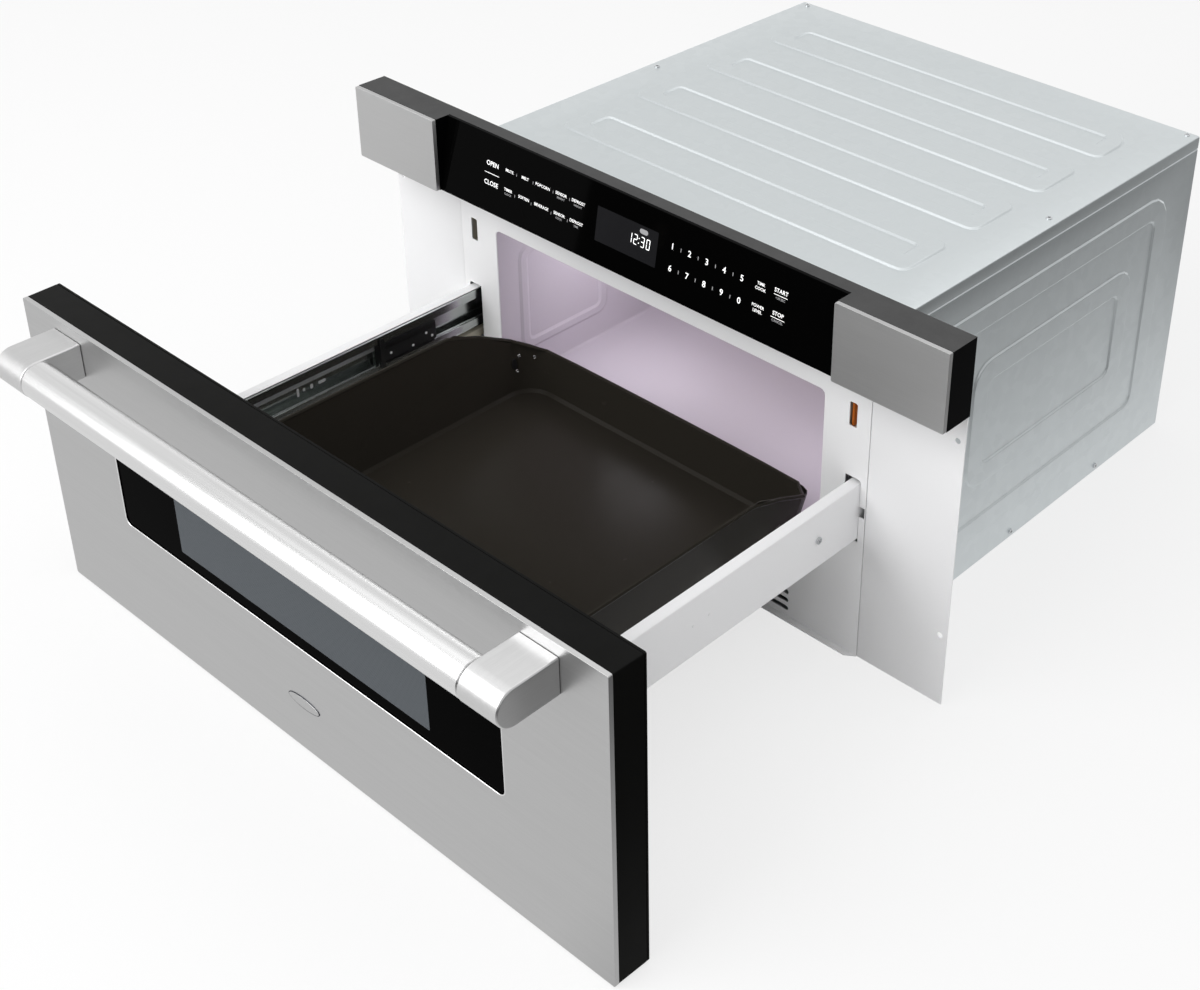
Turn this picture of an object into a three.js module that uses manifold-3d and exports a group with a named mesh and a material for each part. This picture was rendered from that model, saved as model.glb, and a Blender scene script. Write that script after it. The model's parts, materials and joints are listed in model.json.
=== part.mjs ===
// Built-in microwave drawer, drawn with the drawer run out.
// Millimetres. +X is to the right seen from the front, +Y to the back, +Z up.
// While the pieces are drawn, y = 0 is the front face of the front frame and z = 0 the underside.
// The last lines move the whole assembly so that its origin is the middle of the underside.

import * as THREE from 'three';
import { mergeVertices } from 'three/addons/utils/BufferGeometryUtils.js';
import Module from 'manifold-3d';

const wasm = await Module();
wasm.setup();

/* ------------------------------------------------------------------ sizes */

// Fits shared by all pieces
const SEAM = 0.3; // air between two pieces that seat on each other
const BORE_FIT = 0.3; // radial air of a shaft in its bearing
const RUNNER_FIT = 0.4; // air between the nested members of a runner
const TRAVEL = 389; // how far the drawer runs out
const PANEL_AIR = 4; // air between the control panel and the front frame
const DOOR_AIR = 4.5; // air between the closed door and the front frame
const INNER_PANEL_AIR = 0.6; // air between the closed inner panel's rim and the front frame

// Widths, from the outside to the middle
const CABINET_WIDTH = 547;
const RAIL_INSET = 7.5; // cabinet side to the outer face of a rail
const RUNNER_BAY = 45.6; // outer face of a rail to the oven mouth
const PAN_SIDE_AIR = 11.4; // oven mouth to the pan's rim
const DOOR_WIDTH = 759;
const PANEL_WIDTH = 758;
const FLAP_INSET = 4.5; // panel end to the outer edge of a mounting flap

// Heights
const CABINET_HEIGHT = 364;
const MOUTH_BOTTOM = 90;
const MOUTH_HEIGHT = 191.5;
const DOOR_BOTTOM = 1.5;
const DOOR_HEIGHT = 317;
const PANEL_GAP = 9; // door top to control panel
const PANEL_HEIGHT = 78.5;
const RAIL_BOTTOM = 138;
const RAIL_HEIGHT = 62;

// Depths
const PAN_REACH = 23; // how far the pan's rear wall still stands inside when the drawer is out
const PAN_REAR_AIR = 28; // closed pan to the oven's rear wall
const MACHINE_BAY = 110; // oven's rear wall to the back of the cabinet
const DOOR_THICKNESS = 37.5;
const PANEL_THICKNESS = 38;

// Cabinet sheets
const CASE_SHEET = 1;
const CASE_FLANGE = 14;
const CASE_LIFT = 0.5; // sides and back clear the ground by this
const BEND_RADIUS = 1.2;
const JOGGLE_RADIUS = 0.4;
const TOP_BEADS = 4;
const TOP_BEAD_PITCH = 109.5;
const TOP_BEAD_REAR = 86.5; // back edge to the centre of the rear bead
const TOP_BEAD_LENGTH = 454;
const TOP_BEAD_WIDTH = 73;
const TOP_BEAD_BAND = 23;
const TOP_BEAD_CORNER = 12;
const TOP_BEAD_REAR_CORNER = 34;
const BEAD_HEIGHT = 1.6;
const BEAD_SLOPE = 2.2;
const PRESS_SLOPE = 3.4; // run of the slope of the pressings in the other sheets
const SIDE_BEAD_BAND = 27;
const SIDE_BEAD_FRONT = 50;
const SIDE_BEAD_REAR = 49;
const SIDE_BEAD_BOTTOM = 38;
const SIDE_BEAD_HEIGHT = 282;
const SIDE_BEAD_CORNER = 38;
const SIDE_INNER_BEAD_LENGTH = 283;
const SIDE_INNER_BEAD_REAR = 108;
const SIDE_INNER_BEAD_BOTTOM = 104;
const SIDE_INNER_BEAD_HEIGHT = 150;
const SIDE_INNER_BEAD_CORNER = 28;
const BASE_RIB_WIDTH = 18;
const BASE_RIB_LENGTH = 330;
const BASE_RIB_SPACING = 90;
const BASE_RIB_FRONT = 60;
const VENT_COLUMNS = 9;
const VENT_ROWS = 2;
const VENT_WIDTH = 4;
const VENT_HEIGHT = 34;
const VENT_PITCH_X = 13;
const VENT_PITCH_Z = 44;
const VENT_BOTTOM = 196;
const GLAND_X = 200;
const GLAND_Z = 62;
const GLAND_BORE = 5.5;
const GLAND_NECK = 9;
const GLAND_FLANGE = 13;
const GLAND_LIP = 3;

// Front frame and mounting flaps
const FRAME_SHEET = 1.2;
const MOUTH_CORNER = 6;
const LIP_DEPTH = 6.5;
const LIP_MITRE = 10.5;
const RAIL_SLOT_WIDTH = 18.1;
const RAIL_SLOT_AIR = 0.4; // outer face of the rail to the slot's edge
const RAIL_SLOT_ABOVE = 3.6;
const RAIL_SLOT_BELOW = 4.1;
const RAIL_SLOT_CORNER = 3;
const SCREW_NOTCH_WIDTH = 6.4;
const SCREW_NOTCH_BOTTOM = 25.3; // above the rail's lower edge
const SCREW_NOTCH_HEIGHT = 11.7;
const LATCH_Z = 270;
const LATCH_INSET = 19.85; // cabinet side to the latch slot's centre
const LATCH_SLOT_WIDTH = 8.9;
const LATCH_SLOT_HEIGHT = 25.6;
const LATCH_SLOT_CORNER = 1;
const LOUVRES = 3;
const LOUVRE_HEIGHT = 5.2;
const LOUVRE_PITCH = 9.95;
const LOUVRE_BOTTOM = 8.3;
const LOUVRE_SPAN = 374.4;
const LOUVRE_WEB = 10;
const FLAP_LEG = 22;
const FLAP_BOTTOM = 1.4;
const FLAP_HOLE_RADIUS = 3;
const FLAP_HOLE_INSET = 8;
const FLAP_HOLE_BOTTOM = 80.5;
const FLAP_HOLE_SPACING = 214;

// Oven
const LINER_SHEET = 1;
const LINER_FLANGE = 14;
const WALL_BEAD_FRONT = 28;
const WALL_BEAD_LENGTH = 130;
const WALL_BEAD_BOTTOM = 30; // above the oven floor
const WALL_BEAD_HEIGHT = 130;
const WALL_BEAD_BAND = 14;
const WALL_BEAD_CORNER = 16;
const WALL_BEAD_PRESS = 1.6;
const FEED_Y = 232; // centre of the microwave feed in the ceiling
const FEED_RADIUS = 30;
const COVER_WIDTH = 214;
const COVER_DEPTH = 18;
const COVER_WALL = 1.6;
const COVER_CORNER = 18;
const COVER_DRAFT = 5;
const GUIDE_WIDTH = 92;
const GUIDE_HEIGHT = 35;
const GUIDE_WALL = 1.2;
const GUIDE_FLANGE = 12;
const GUIDE_MITRE = 13;
const GUIDE_FRONT_REACH = 42; // feed centre to the front end
const GUIDE_REAR_AIR = 10; // rear end to the cabinet's back
const ANTENNA_AIR = 4; // round the antenna where it enters the waveguide
const SHAFT_AIR = 1.5; // round the stirrer's shaft where it leaves the waveguide
const STIRRER_RADIUS = 84;
const STIRRER_BLADES = 4;
const STIRRER_BLADE_WIDTH = 46;
const STIRRER_SHEET = 1;
const STIRRER_TILT = 9;
const STIRRER_DROP = 10; // ceiling to the blades
const STIRRER_SHAFT = 3;
const STIRRER_HUB = 9;
const STIRRER_MOTOR_RADIUS = 25;
const STIRRER_MOTOR_HEIGHT = 19;
const STIRRER_MOTOR_BEVEL = 1.5;
const STIRRER_EAR = 34;
const STIRRER_EAR_WIDTH = 12;
const STIRRER_HUB_HEIGHT = 7;
const STIRRER_TIP_TAPER = 12;
const LAMP_Y = 300;
const LAMP_SIZE = 30;
const LAMP_REACH = 24;
const LAMP_Z = 236;
const LAMP_CORNER = 4;
const LAMP_WALL = 3;
const LAMP_BULB_RADIUS = 7;
const LAMP_BULB_LENGTH = 17;
const LAMP_NECK_RADIUS = 4.5;
const LAMP_TERMINAL_SPREAD = 5; // middle of the lamp to a terminal
const LAMP_TERMINAL_WIDTH = 6;
const LAMP_TERMINAL_SHEET = 0.8;
const LAMP_TERMINAL_LENGTH = 9;

// Machine bay
const MAGNETRON_WIDTH = 80;
const MAGNETRON_HEIGHT = 92;
const MAGNETRON_YOKE = 3;
const MAGNETRON_CORE = 19;
const MAGNET_HEIGHT = 12;
const MAGNET_RIM = 8; // a magnet is this much larger in radius than the core
const MAGNETRON_FINS = 5;
const MAGNETRON_FIN_SHEET = 1;
const MAGNETRON_FILTER = 18;
const MAGNETRON_ANTENNA = 8;
const MAGNETRON_ANTENNA_HEIGHT = 16;
const TRANSFORMER_X = -147;
const TRANSFORMER_WIDTH = 86;
const TRANSFORMER_HEIGHT = 72;
const TRANSFORMER_STACK = 50;
const TRANSFORMER_LEG = 15;
const TRANSFORMER_CORE_LEG = 26;
const WINDING_THICKNESS = 13;
const CAPACITOR_X = 125;
const CAPACITOR_LENGTH = 50;
const CAPACITOR_THICKNESS = 32;
const CAPACITOR_HEIGHT = 74;
const CAPACITOR_TAB = 9;
const CAPACITOR_TAB_SHEET = 1;
const SHROUD_X = -70;
const SHROUD_SHEET = 1;
const SHROUD_AIR = 4; // between the shroud's edges and the walls of the bay
const SHROUD_HEIGHT = 289;
const SHROUD_FOOT = 20;
const FAN_Z = 236;
const ORIFICE_RADIUS = 43;
const ORIFICE_LIP = 6;
const ORIFICE_ROLL = 3;
const FAN_RADIUS = 39;
const FAN_BLADES = 5;
const FAN_HUB = 11;
const FAN_HUB_LENGTH = 16;
const FAN_HUB_BEVEL = 2;
const FAN_ROOT = 3; // a blade reaches into the hub by this
const FAN_CHORD = 30;
const FAN_PITCH = 28;
const FAN_BLADE_SHEET = 1.4;
const FAN_SHAFT = 2.5;
const FAN_SET_BACK = 13; // orifice plate to the middle of the blades
const FAN_BRACKET = 26; // orifice plate to the bracket's cross strip
const FAN_BRACKET_SPAN = 98;
const FAN_BRACKET_WIDTH = 16;
const FAN_BRACKET_SHEET = 1.6;
const FAN_BRACKET_FOOT = 5;
const FAN_BRACKET_SLANT = 3;
const FAN_STACK = 16;
const FAN_STACK_WIDTH = 44;
const FAN_STACK_HEIGHT = 60;
const FAN_COIL = 26;
const FAN_COIL_PROUD = 6; // the coil stands out of its stack by this
const FAN_COIL_CORNER = 4;
const BOARD_X = 142;
const BOARD_Y = 165;
const BOARD_WIDTH = 150;
const BOARD_DEPTH = 130;
const BOARD_SHEET = 1.6;
const BOARD_POST = 4;
const BOARD_LIFT = 12;
const BOARD_CORNER = 2;
const BOARD_POST_INSET = 8;
// Parts on the power board: left, right, front and rear edge, and height
const BOARD_PARTS = [
  [-58, -22, -50, -24, 22],
  [-12, 8, -52, -30, 16],
  [14, 34, -52, -30, 16],
  [42, 66, -54, -20, 26],
  [-60, -8, 6, 52, 34],
  [6, 30, -8, 14, 12],
  [40, 62, 4, 50, 18],
];

// Control panel
const GLASS_SHEET = 3;
const GLASS_FOOT = 5.8; // how far the glass stands behind the end blocks at its lower edge
const GLASS_LEAN = 13.7; // how far its upper edge leans back
const GLASS_WIDTH = 517;
const TRIM_SHEET = 1;
const TRIM_FOLD = 4.5;
const TRIM_CORNER = 1.2;
const BOSS_RADIUS = 9;
const BOSS_REACH = 26.5; // cabinet side to the centre of a boss
const BOSS_Z = 346;
const POCKET_WIDTH = 420;
const POCKET_DEPTH = 10;
const POCKET_MARGIN = 7;
const POCKET_CORNER = 1.5;
const CONTROL_BOARD_AIR = 5; // pocket's end to the board's end
const CONTROL_BOARD_EDGE_AIR = 2; // pocket's long wall to the board's edge
const CONTROL_PART_HEIGHT = 4;
// Parts on the control board: left and right edge as shares of its half width, bottom and top of its height
const CONTROL_PARTS = [
  [-0.73, -0.54, 0.13, 0.43],
  [-0.29, -0.15, 0.1, 0.33],
  [0.34, 0.58, 0.17, 0.56],
];
const DISPLAY_X = -1;
const DISPLAY_Z = 367.2;
const DISPLAY_WIDTH = 79.3;
const DISPLAY_HEIGHT = 34.4;
const DISPLAY_GLASS_AIR = 0.6;
const DISPLAY_AIR = 1; // round the display in its opening

// Door
const SKIN_SHEET = 1;
const SKIN_FOLD = 4.5;
const SKIN_CORNER = 1.6;
const WINDOW_WIDTH = 523;
const WINDOW_BOTTOM = 122.5;
const WINDOW_HEIGHT = 114.5;
const WINDOW_CORNER = 8;
const WINDOW_GLASS = 4;
const WINDOW_OVERLAP = 6.5; // glass behind the skin all round
const SIGHT_WIDTH = 342;
const SIGHT_BOTTOM = 136;
const SIGHT_HEIGHT = 86;
const SCREEN_SHEET = 0.8;
const SCREEN_OVERLAP = 7;
const DOOR_WALL = 3;
const DOOR_FLARE = 1; // the black box is a little wider at its back
const REAR_COVER = 2.6;
const INNER_PANEL_OVERLAP = 14; // inner panel past the oven mouth all round
const INNER_PANEL_SHEET = 1.2;
const INNER_PANEL_CORNER = 6;
const CHOKE_PRESS = 2;
const CHOKE_BAND = 18;
const CHOKE_INSET = 5;
const CHOKE_CORNER = 8;

// Handle
const HANDLE_Z = 289.5;
const HANDLE_STANDOFF = 43; // door face to the bar's axis
const BAR_RADIUS = 17.4;
const BAR_WALL = 1.5;
const BAR_BEVEL = 0.8;
const BAR_LENGTH = 574;
const BRACKET_RADIUS = 17.8;
const BRACKET_WIDTH = 42.7;
const BRACKET_CHAMFER = 1.2;

// Pan
const PAN_LIFT = 7; // pan bottom above the oven mouth's lower edge
const PAN_RIM_Z = 191;
const PAN_REAR_Z = 145;
const PAN_SLOPE_LENGTH = 96; // the rim falls to the rear wall over this length
const PAN_SHEET = 1.2;
const PAN_DRAFT = 8; // inward draft of a side wall from its rim to the rear wall's height
const PAN_CORNER = 30;
const PAN_RIM_RADIUS = 2.2;
const PAN_RIM_STEPS = 28;
const PAN_RIM_EASE = 8; // the rim starts to bend this far before the slope
const PAN_FOOT_BEVEL = 3;
const PAN_FRONT_CORNER = 4;
const PAN_FRONT_LIP = 28;

// Rails and runners
const RAIL_SHEET = 1;
const RAIL_TOP_WIDTH = 12;
const RAIL_REACH = 85; // the rail's rear end behind the front frame
const RAIL_FOOT = 20;
const RUNNER_HEIGHT = 45;
const RUNNER_SHEET = 1.2;
const RUNNER_DEPTH = 11.2;
const RUNNER_LIP = 10;
const RUNNER_BEND = 0.6;
const RUNNER_OVERRUN = 2; // drawer member's rear end behind the rail's
const MIDDLE_LENGTH = 330;
const MIDDLE_FRONT = -134;
const MIDDLE_RATIO = 0.35;
const FIXED_REAR_AIR = 12; // rear end of the fixed member to the oven's rear wall line
const BUFFER_LENGTH = 73;
const BUFFER_PROUD = 1; // the buffer stands out of the drawer member's mouth by this
const BUFFER_STOP_AIR = 4; // closed drawer: buffer to the fixed member
const RUNNER_STEM = 14;
const BRACE_HEIGHT = 50;
const BRACE_FOOT = 12;
const BRACE_SHEET = 1.4;

// Drive: a rack on the left rail, a pinion behind the front frame
const MODULE = 2;
const PINION_TEETH = 12;
const PRESSURE_ANGLE = 20;
const RACK_ADDENDUM = 1.35;
const RACK_DEDENDUM = 2.5;
const PINION_ADDENDUM = 1.8;
const PINION_DEDENDUM = 1.95;
const BACKLASH = 0.35;
const RACK_WIDTH = 8.6;
const RACK_HEIGHT = 10.4;
const RACK_LIFT = 0.4; // rail's lower edge to the rack's pitch line
const RACK_REAR_AIR = 5; // rack end to the rail's rear end
const PINION_Y = 30;
const PINION_SHAFT = 3;
const PINION_SHAFT_LENGTH = 17;
const GEARBOX_WIDTH = 23;
const GEARBOX_LENGTH = 61;
const GEARBOX_HEIGHT = 42;
const GEARBOX_CORNER = 8;
const GEARBOX_BOSS = 3;
const GEARBOX_BOSS_WALL = 5;
const MOTOR_RADIUS = 16;
const MOTOR_LENGTH = 54;
const MOTOR_BEVEL = 2;
const MOTOR_HUB_RADIUS = 5;
const MOTOR_HUB_LENGTH = 4;

// Latches
const HOOK_THICKNESS = 3;
const HOOK_LENGTH = 28;
const HOOK_HEIGHT = 16;
const HOOK_NOSE = 3.5;
const HOOK_NOTCH = 10; // tip to the start of the nose
const HOOK_FOOT_SHEET = 2;
const HOOK_FOOT_IN = 6;
const HOOK_FOOT_OUT = 9;
const HOLDER_WALL = 2;
const HOLDER_WIDTH = 18;
const HOLDER_OFFSET = 1; // the holder's middle lies this far inside the hook
const HOLDER_CORNER = 2;
const HOLDER_HEIGHT = 36;
const HOLDER_LENGTH = 62;
const LEVER_THICKNESS = 1.8;
const LEVER_LENGTH = 36;
const LEVER_SET_BACK = 1; // behind the holder's front
const LEVER_AIR = 0.6; // between the lever, the hook and the holder's walls
const SWITCH_WIDTH = 14;
const SWITCH_LENGTH = 28;
const SWITCH_HEIGHT = 15;
const SWITCH_GAP = 2;
const SWITCH_FRONT = 9; // behind the holder's front

// Fineness
const CORNER_STEPS = 4;
const ROUND_STEPS = 20;
const HANDLE_STEPS = 36; // round the bar and, with the same pitch, round a bracket's nose
const CUT = 1; // cutters run past what they cut by this
const SMALL_STEPS = 3; // steps round a small corner
const INNER_STEPS = 2; // steps round the inner corner of a bead
const BITE = 1; // parts of one solid reach into each other by this

/* ---------------------------------------------------------- derived places */

const half = CABINET_WIDTH / 2;
const behindFrame = FRAME_SHEET + SEAM;
const railOuter = half - RAIL_INSET;
const mouthHalf = railOuter - RUNNER_BAY;
const mouthTop = MOUTH_BOTTOM + MOUTH_HEIGHT;
const panHalf = mouthHalf - PAN_SIDE_AIR;
const linerRear = PAN_REACH + TRAVEL + PAN_REAR_AIR;
const bayFront = linerRear + LINER_SHEET;
const cabinetDepth = bayFront + MACHINE_BAY;
const bayCentre = bayFront + (MACHINE_BAY - CASE_SHEET) / 2;
const floorTop = CASE_SHEET + SEAM;
const doorBack = -(TRAVEL + DOOR_AIR);
const doorFront = doorBack - DOOR_THICKNESS;
const panelBack = -PANEL_AIR;
const panelFront = panelBack - PANEL_THICKNESS;
const panelBottom = DOOR_BOTTOM + DOOR_HEIGHT + PANEL_GAP;
const panelTop = panelBottom + PANEL_HEIGHT;
const railTop = RAIL_BOTTOM + RAIL_HEIGHT;
const latchX = half - LATCH_INSET;
const innerPanelBack = -(TRAVEL + INNER_PANEL_AIR);
const panFront = innerPanelBack - CHOKE_PRESS + SEAM;

/* --------------------------------------------------------------- finishes */

const FINISHES = {
  galvanised: { color: 0xbfc5c8, roughness: 0.42, metalness: 0.85 },
  white: { color: 0xe6e6e8, roughness: 0.45, metalness: 0.05 },
  oven: { color: 0xcfc8cc, roughness: 0.5, metalness: 0.1 },
  brushed: { color: 0xb0b0b0, roughness: 0.32, metalness: 0.9 },
  black: { color: 0x0c0c0d, roughness: 0.5, metalness: 0.0 },
  gloss: { color: 0x050506, roughness: 0.08, metalness: 0.0 },
  enamel: { color: 0x141210, roughness: 0.22, metalness: 0.1 },
  screen: { color: 0x55595c, roughness: 0.4, metalness: 0.4 },
  zinc: { color: 0x9da2a4, roughness: 0.35, metalness: 0.9 },
  orange: { color: 0xd9731f, roughness: 0.5, metalness: 0.0 },
  ivory: { color: 0xd8d2c2, roughness: 0.6, metalness: 0.0 },
  copper: { color: 0xa8562a, roughness: 0.35, metalness: 0.9 },
  core: { color: 0x5c5f63, roughness: 0.5, metalness: 0.8 },
  board: { color: 0x2f6b3c, roughness: 0.6, metalness: 0.0 },
  mica: { color: 0xc9bfa8, roughness: 0.7, metalness: 0.0 },
};

/* --------------------------------------------------------------- outlines */

// Rounded rectangle as a counter-clockwise loop; radii run from the lower left corner round.
function roundedLoop(x0, x1, y0, y1, radii, steps = CORNER_STEPS) {
  const [r0, r1, r2, r3] = Array.isArray(radii) ? radii : [radii, radii, radii, radii];
  const corners = [
    [x0 + r0, y0 + r0, r0, Math.PI],
    [x1 - r1, y0 + r1, r1, -Math.PI / 2],
    [x1 - r2, y1 - r2, r2, 0],
    [x0 + r3, y1 - r3, r3, Math.PI / 2],
  ];
  return corners.flatMap(([cx, cy, radius, start]) => {
    const points = [];
    for (let i = 0; i <= steps; i += 1) {
      const angle = start + (Math.PI / 2) * (i / steps);
      points.push(new THREE.Vector2(cx + radius * Math.cos(angle), cy + radius * Math.sin(angle)));
    }
    return points;
  });
}

const roundedShape = (...spec) => new THREE.Shape(roundedLoop(...spec));

function polygon(points) {
  return new THREE.Shape(points.map(([x, y]) => new THREE.Vector2(x, y)));
}

const rectangle = (x0, x1, y0, y1) => polygon([[x0, y0], [x1, y0], [x1, y1], [x0, y1]]);

function circle(cx, cy, radius, steps = ROUND_STEPS) {
  const points = [];
  for (let i = 0; i < steps; i += 1) {
    const angle = (2 * Math.PI * i) / steps;
    points.push([cx + radius * Math.cos(angle), cy + radius * Math.sin(angle)]);
  }
  return polygon(points);
}

function withHoles(shape, holes) {
  shape.holes.push(...holes);
  return shape;
}

// An open path moved to its left by a distance, with mitred corners.
function offsetPath(path, distance) {
  return path.map((point, i) => {
    const before = path[Math.max(i - 1, 0)];
    const after = path[Math.min(i + 1, path.length - 1)];
    const into = new THREE.Vector2().subVectors(i > 0 ? point : after, i > 0 ? before : point).normalize();
    const out = new THREE.Vector2()
      .subVectors(i < path.length - 1 ? after : point, i < path.length - 1 ? point : before)
      .normalize();
    const normalIn = new THREE.Vector2(-into.y, into.x);
    const normalOut = new THREE.Vector2(-out.y, out.x);
    const mitre = normalIn.clone().add(normalOut).normalize();
    return point.clone().addScaledVector(mitre, distance / mitre.dot(normalIn));
  });
}

// An open path with each inner corner replaced by an arc.
function filletPath(path, radius, steps = 2) {
  const result = [path[0]];
  for (let i = 1; i < path.length - 1; i += 1) {
    const toBefore = new THREE.Vector2().subVectors(path[i - 1], path[i]);
    const toAfter = new THREE.Vector2().subVectors(path[i + 1], path[i]);
    const opening = Math.acos(THREE.MathUtils.clamp(
      toBefore.clone().normalize().dot(toAfter.clone().normalize()), -1, 1));
    const wanted = radius / Math.tan(opening / 2);
    const back = Math.min(wanted, toBefore.length() * 0.45, toAfter.length() * 0.45);
    const start = path[i].clone().addScaledVector(toBefore.normalize(), back);
    const end = path[i].clone().addScaledVector(toAfter.normalize(), back);
    const curve = new THREE.QuadraticBezierCurve(start, path[i], end);
    result.push(...curve.getPoints(steps));
  }
  result.push(path[path.length - 1]);
  return result;
}

// Section of a bent sheet: the points are one face, and the sheet lies to the left of the path.
function bentSection(points, sheet, radius = BEND_RADIUS) {
  const face = points.map(([x, y]) => new THREE.Vector2(x, y));
  const middle = filletPath(offsetPath(face, sheet / 2), radius + Math.abs(sheet) / 2);
  const left = offsetPath(middle, sheet / 2);
  const right = offsetPath(middle, -sheet / 2);
  return new THREE.Shape([...right, ...left.reverse()]);
}

/* ---------------------------------------------------------------- solids */

function solid(geometry) {
  const bare = geometry.clone();
  bare.deleteAttribute('normal');
  bare.deleteAttribute('uv');
  const merged = mergeVertices(bare, 1e-4);
  return new wasm.Manifold(new wasm.Mesh({
    numProp: 3,
    vertProperties: new Float32Array(merged.attributes.position.array),
    triVerts: new Uint32Array(merged.index.array),
  }));
}

function geometryOf(body) {
  const { vertProperties, triVerts } = body.getMesh();
  const geometry = new THREE.BufferGeometry();
  geometry.setAttribute('position', new THREE.BufferAttribute(new Float32Array(vertProperties), 3));
  geometry.setIndex(new THREE.BufferAttribute(new Uint32Array(triVerts), 1));
  geometry.computeVertexNormals();
  return geometry;
}

const union = (...bodies) => bodies.reduce((sum, body) => sum.add(body));
const cut = (body, ...cutters) => cutters.reduce((rest, cutter) => rest.subtract(cutter), body);

// The outline is extruded first and its holes are then cut through it.
function extrusion(shape, depth) {
  const options = { bevelEnabled: false, curveSegments: CORNER_STEPS };
  const outline = new THREE.Shape(shape.getPoints());
  const body = new THREE.ExtrudeGeometry(outline, { ...options, depth });
  if (shape.holes.length === 0) {
    return body;
  }
  const cutters = shape.holes.map((hole) => solid(
    new THREE.ExtrudeGeometry(new THREE.Shape(hole.getPoints()), { ...options, depth: depth + 2 * CUT })
      .translate(0, 0, -CUT)));
  return geometryOf(cut(solid(body), ...cutters));
}

// A shape drawn in (x, y) and extruded from z0 to z1.
const alongZ = (shape, z0, z1) => solid(extrusion(shape, z1 - z0).translate(0, 0, z0));

// A shape drawn in (x, z) and extruded from y0 to y1.
const alongY = (shape, y0, y1) =>
  solid(extrusion(shape, y1 - y0).rotateX(Math.PI / 2).translate(0, y1, 0));

const ONTO_YZ = new THREE.Matrix4().makeBasis(
  new THREE.Vector3(0, 1, 0), new THREE.Vector3(0, 0, 1), new THREE.Vector3(1, 0, 0));

// A shape drawn in (y, z) and extruded from x0 to x1.
const alongX = (shape, x0, x1) =>
  solid(extrusion(shape, x1 - x0).applyMatrix4(ONTO_YZ).translate(x0, 0, 0));

// Convex loops with equal counts, stacked from the lowest z to the highest.
function loft(levels) {
  const count = levels[0].loop.length;
  const positions = levels.flatMap(({ loop, z }) => loop.flatMap((point) => [point.x, point.y, z]));
  const index = [];
  for (let level = 0; level < levels.length - 1; level += 1) {
    for (let i = 0; i < count; i += 1) {
      const a = level * count + i;
      const b = level * count + ((i + 1) % count);
      index.push(a, b, b + count, a, b + count, a + count);
    }
  }
  const top = (levels.length - 1) * count;
  for (let i = 1; i < count - 1; i += 1) {
    index.push(0, i + 1, i, top, top + i, top + i + 1);
  }
  const geometry = new THREE.BufferGeometry();
  geometry.setAttribute('position', new THREE.Float32BufferAttribute(positions, 3));
  geometry.setIndex(index);
  return geometry;
}

// A closed profile of (radius, height) pairs turned about an axis through the origin.
function turned(profile, axis = 'z', steps = ROUND_STEPS) {
  const geometry = new THREE.LatheGeometry(profile.map(([r, h]) => new THREE.Vector2(r, h)), steps);
  if (axis === 'x') {
    geometry.rotateZ(-Math.PI / 2);
  }
  if (axis === 'z') {
    geometry.rotateX(Math.PI / 2);
  }
  return geometry;
}

const rod = (radius, h0, h1) => [[0, h0], [radius, h0], [radius, h1], [0, h1]];

// The raised band of a pressed bead, between an outer and an inner rounded rectangle.
function ridge({ outer, inner, steps = SMALL_STEPS }, floor, crest, height, inset, slope) {
  const loopOf = ([x0, x1, y0, y1, radii], by, fineness) => {
    const shrink = (r) => Math.max(r - by, 0.6);
    const rounded = Array.isArray(radii) ? radii.map(shrink) : shrink(radii);
    return roundedLoop(x0 + by, x1 - by, y0 + by, y1 - by, rounded, fineness);
  };
  const foot = crest - height;
  const band = solid(loft([
    { loop: loopOf(outer, inset, steps), z: floor },
    { loop: loopOf(outer, inset, steps), z: foot },
    { loop: loopOf(outer, inset + slope, steps), z: crest },
  ]));
  if (!inner) {
    return band;
  }
  return cut(band, solid(loft([
    { loop: loopOf(inner, -inset, INNER_STEPS), z: floor - CUT },
    { loop: loopOf(inner, -inset, INNER_STEPS), z: foot },
    { loop: loopOf(inner, -inset - slope, INNER_STEPS), z: crest },
    { loop: loopOf(inner, -inset - slope, INNER_STEPS), z: crest + CUT },
  ])));
}

// Presses beads into a sheet. The matrix puts the bead's own z = 0 on the raised face of the sheet.
function press(body, beads, sheet, height, matrix, slope = PRESS_SLOPE) {
  const placed = (form) => solid(geometryOf(form).applyMatrix4(matrix));
  return beads.reduce((pressed, bead) => pressed
    .add(placed(ridge(bead, -sheet / 2, height, height, 0, slope)))
    .subtract(placed(ridge(bead, -sheet - CUT, height - sheet, height, sheet / 2, slope))), body);
}

// A rounded band of constant width as a bead.
function frameBead(x0, x1, y0, y1, band, outerRadii, innerRadius, steps = SMALL_STEPS) {
  return {
    steps,
    outer: [x0, x1, y0, y1, outerRadii],
    inner: [x0 + band, x1 - band, y0 + band, y1 - band, innerRadius],
  };
}

function mirrored(geometry) {
  const copy = geometry.clone().applyMatrix4(new THREE.Matrix4().makeScale(-1, 1, 1));
  const index = copy.index.array;
  for (let i = 0; i < index.length; i += 3) {
    [index[i + 1], index[i + 2]] = [index[i + 2], index[i + 1]];
  }
  copy.computeVertexNormals();
  return copy;
}

function piece(name, body, finish) {
  const mesh = new THREE.Mesh(geometryOf(body), new THREE.MeshStandardMaterial(FINISHES[finish]));
  mesh.name = name;
  return mesh;
}

// The right-hand piece as drawn and its mirror image on the left.
function pair(name, body, finish) {
  const right = piece(`${name}_right`, body, finish);
  const left = piece(`${name}_left`, body, finish);
  left.geometry = mirrored(left.geometry);
  return [right, left];
}

function assembly(...pieces) {
  const group = new THREE.Group();
  group.add(...pieces.flat());
  return group;
}

/* --------------------------------------------------------------- cabinet */

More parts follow.
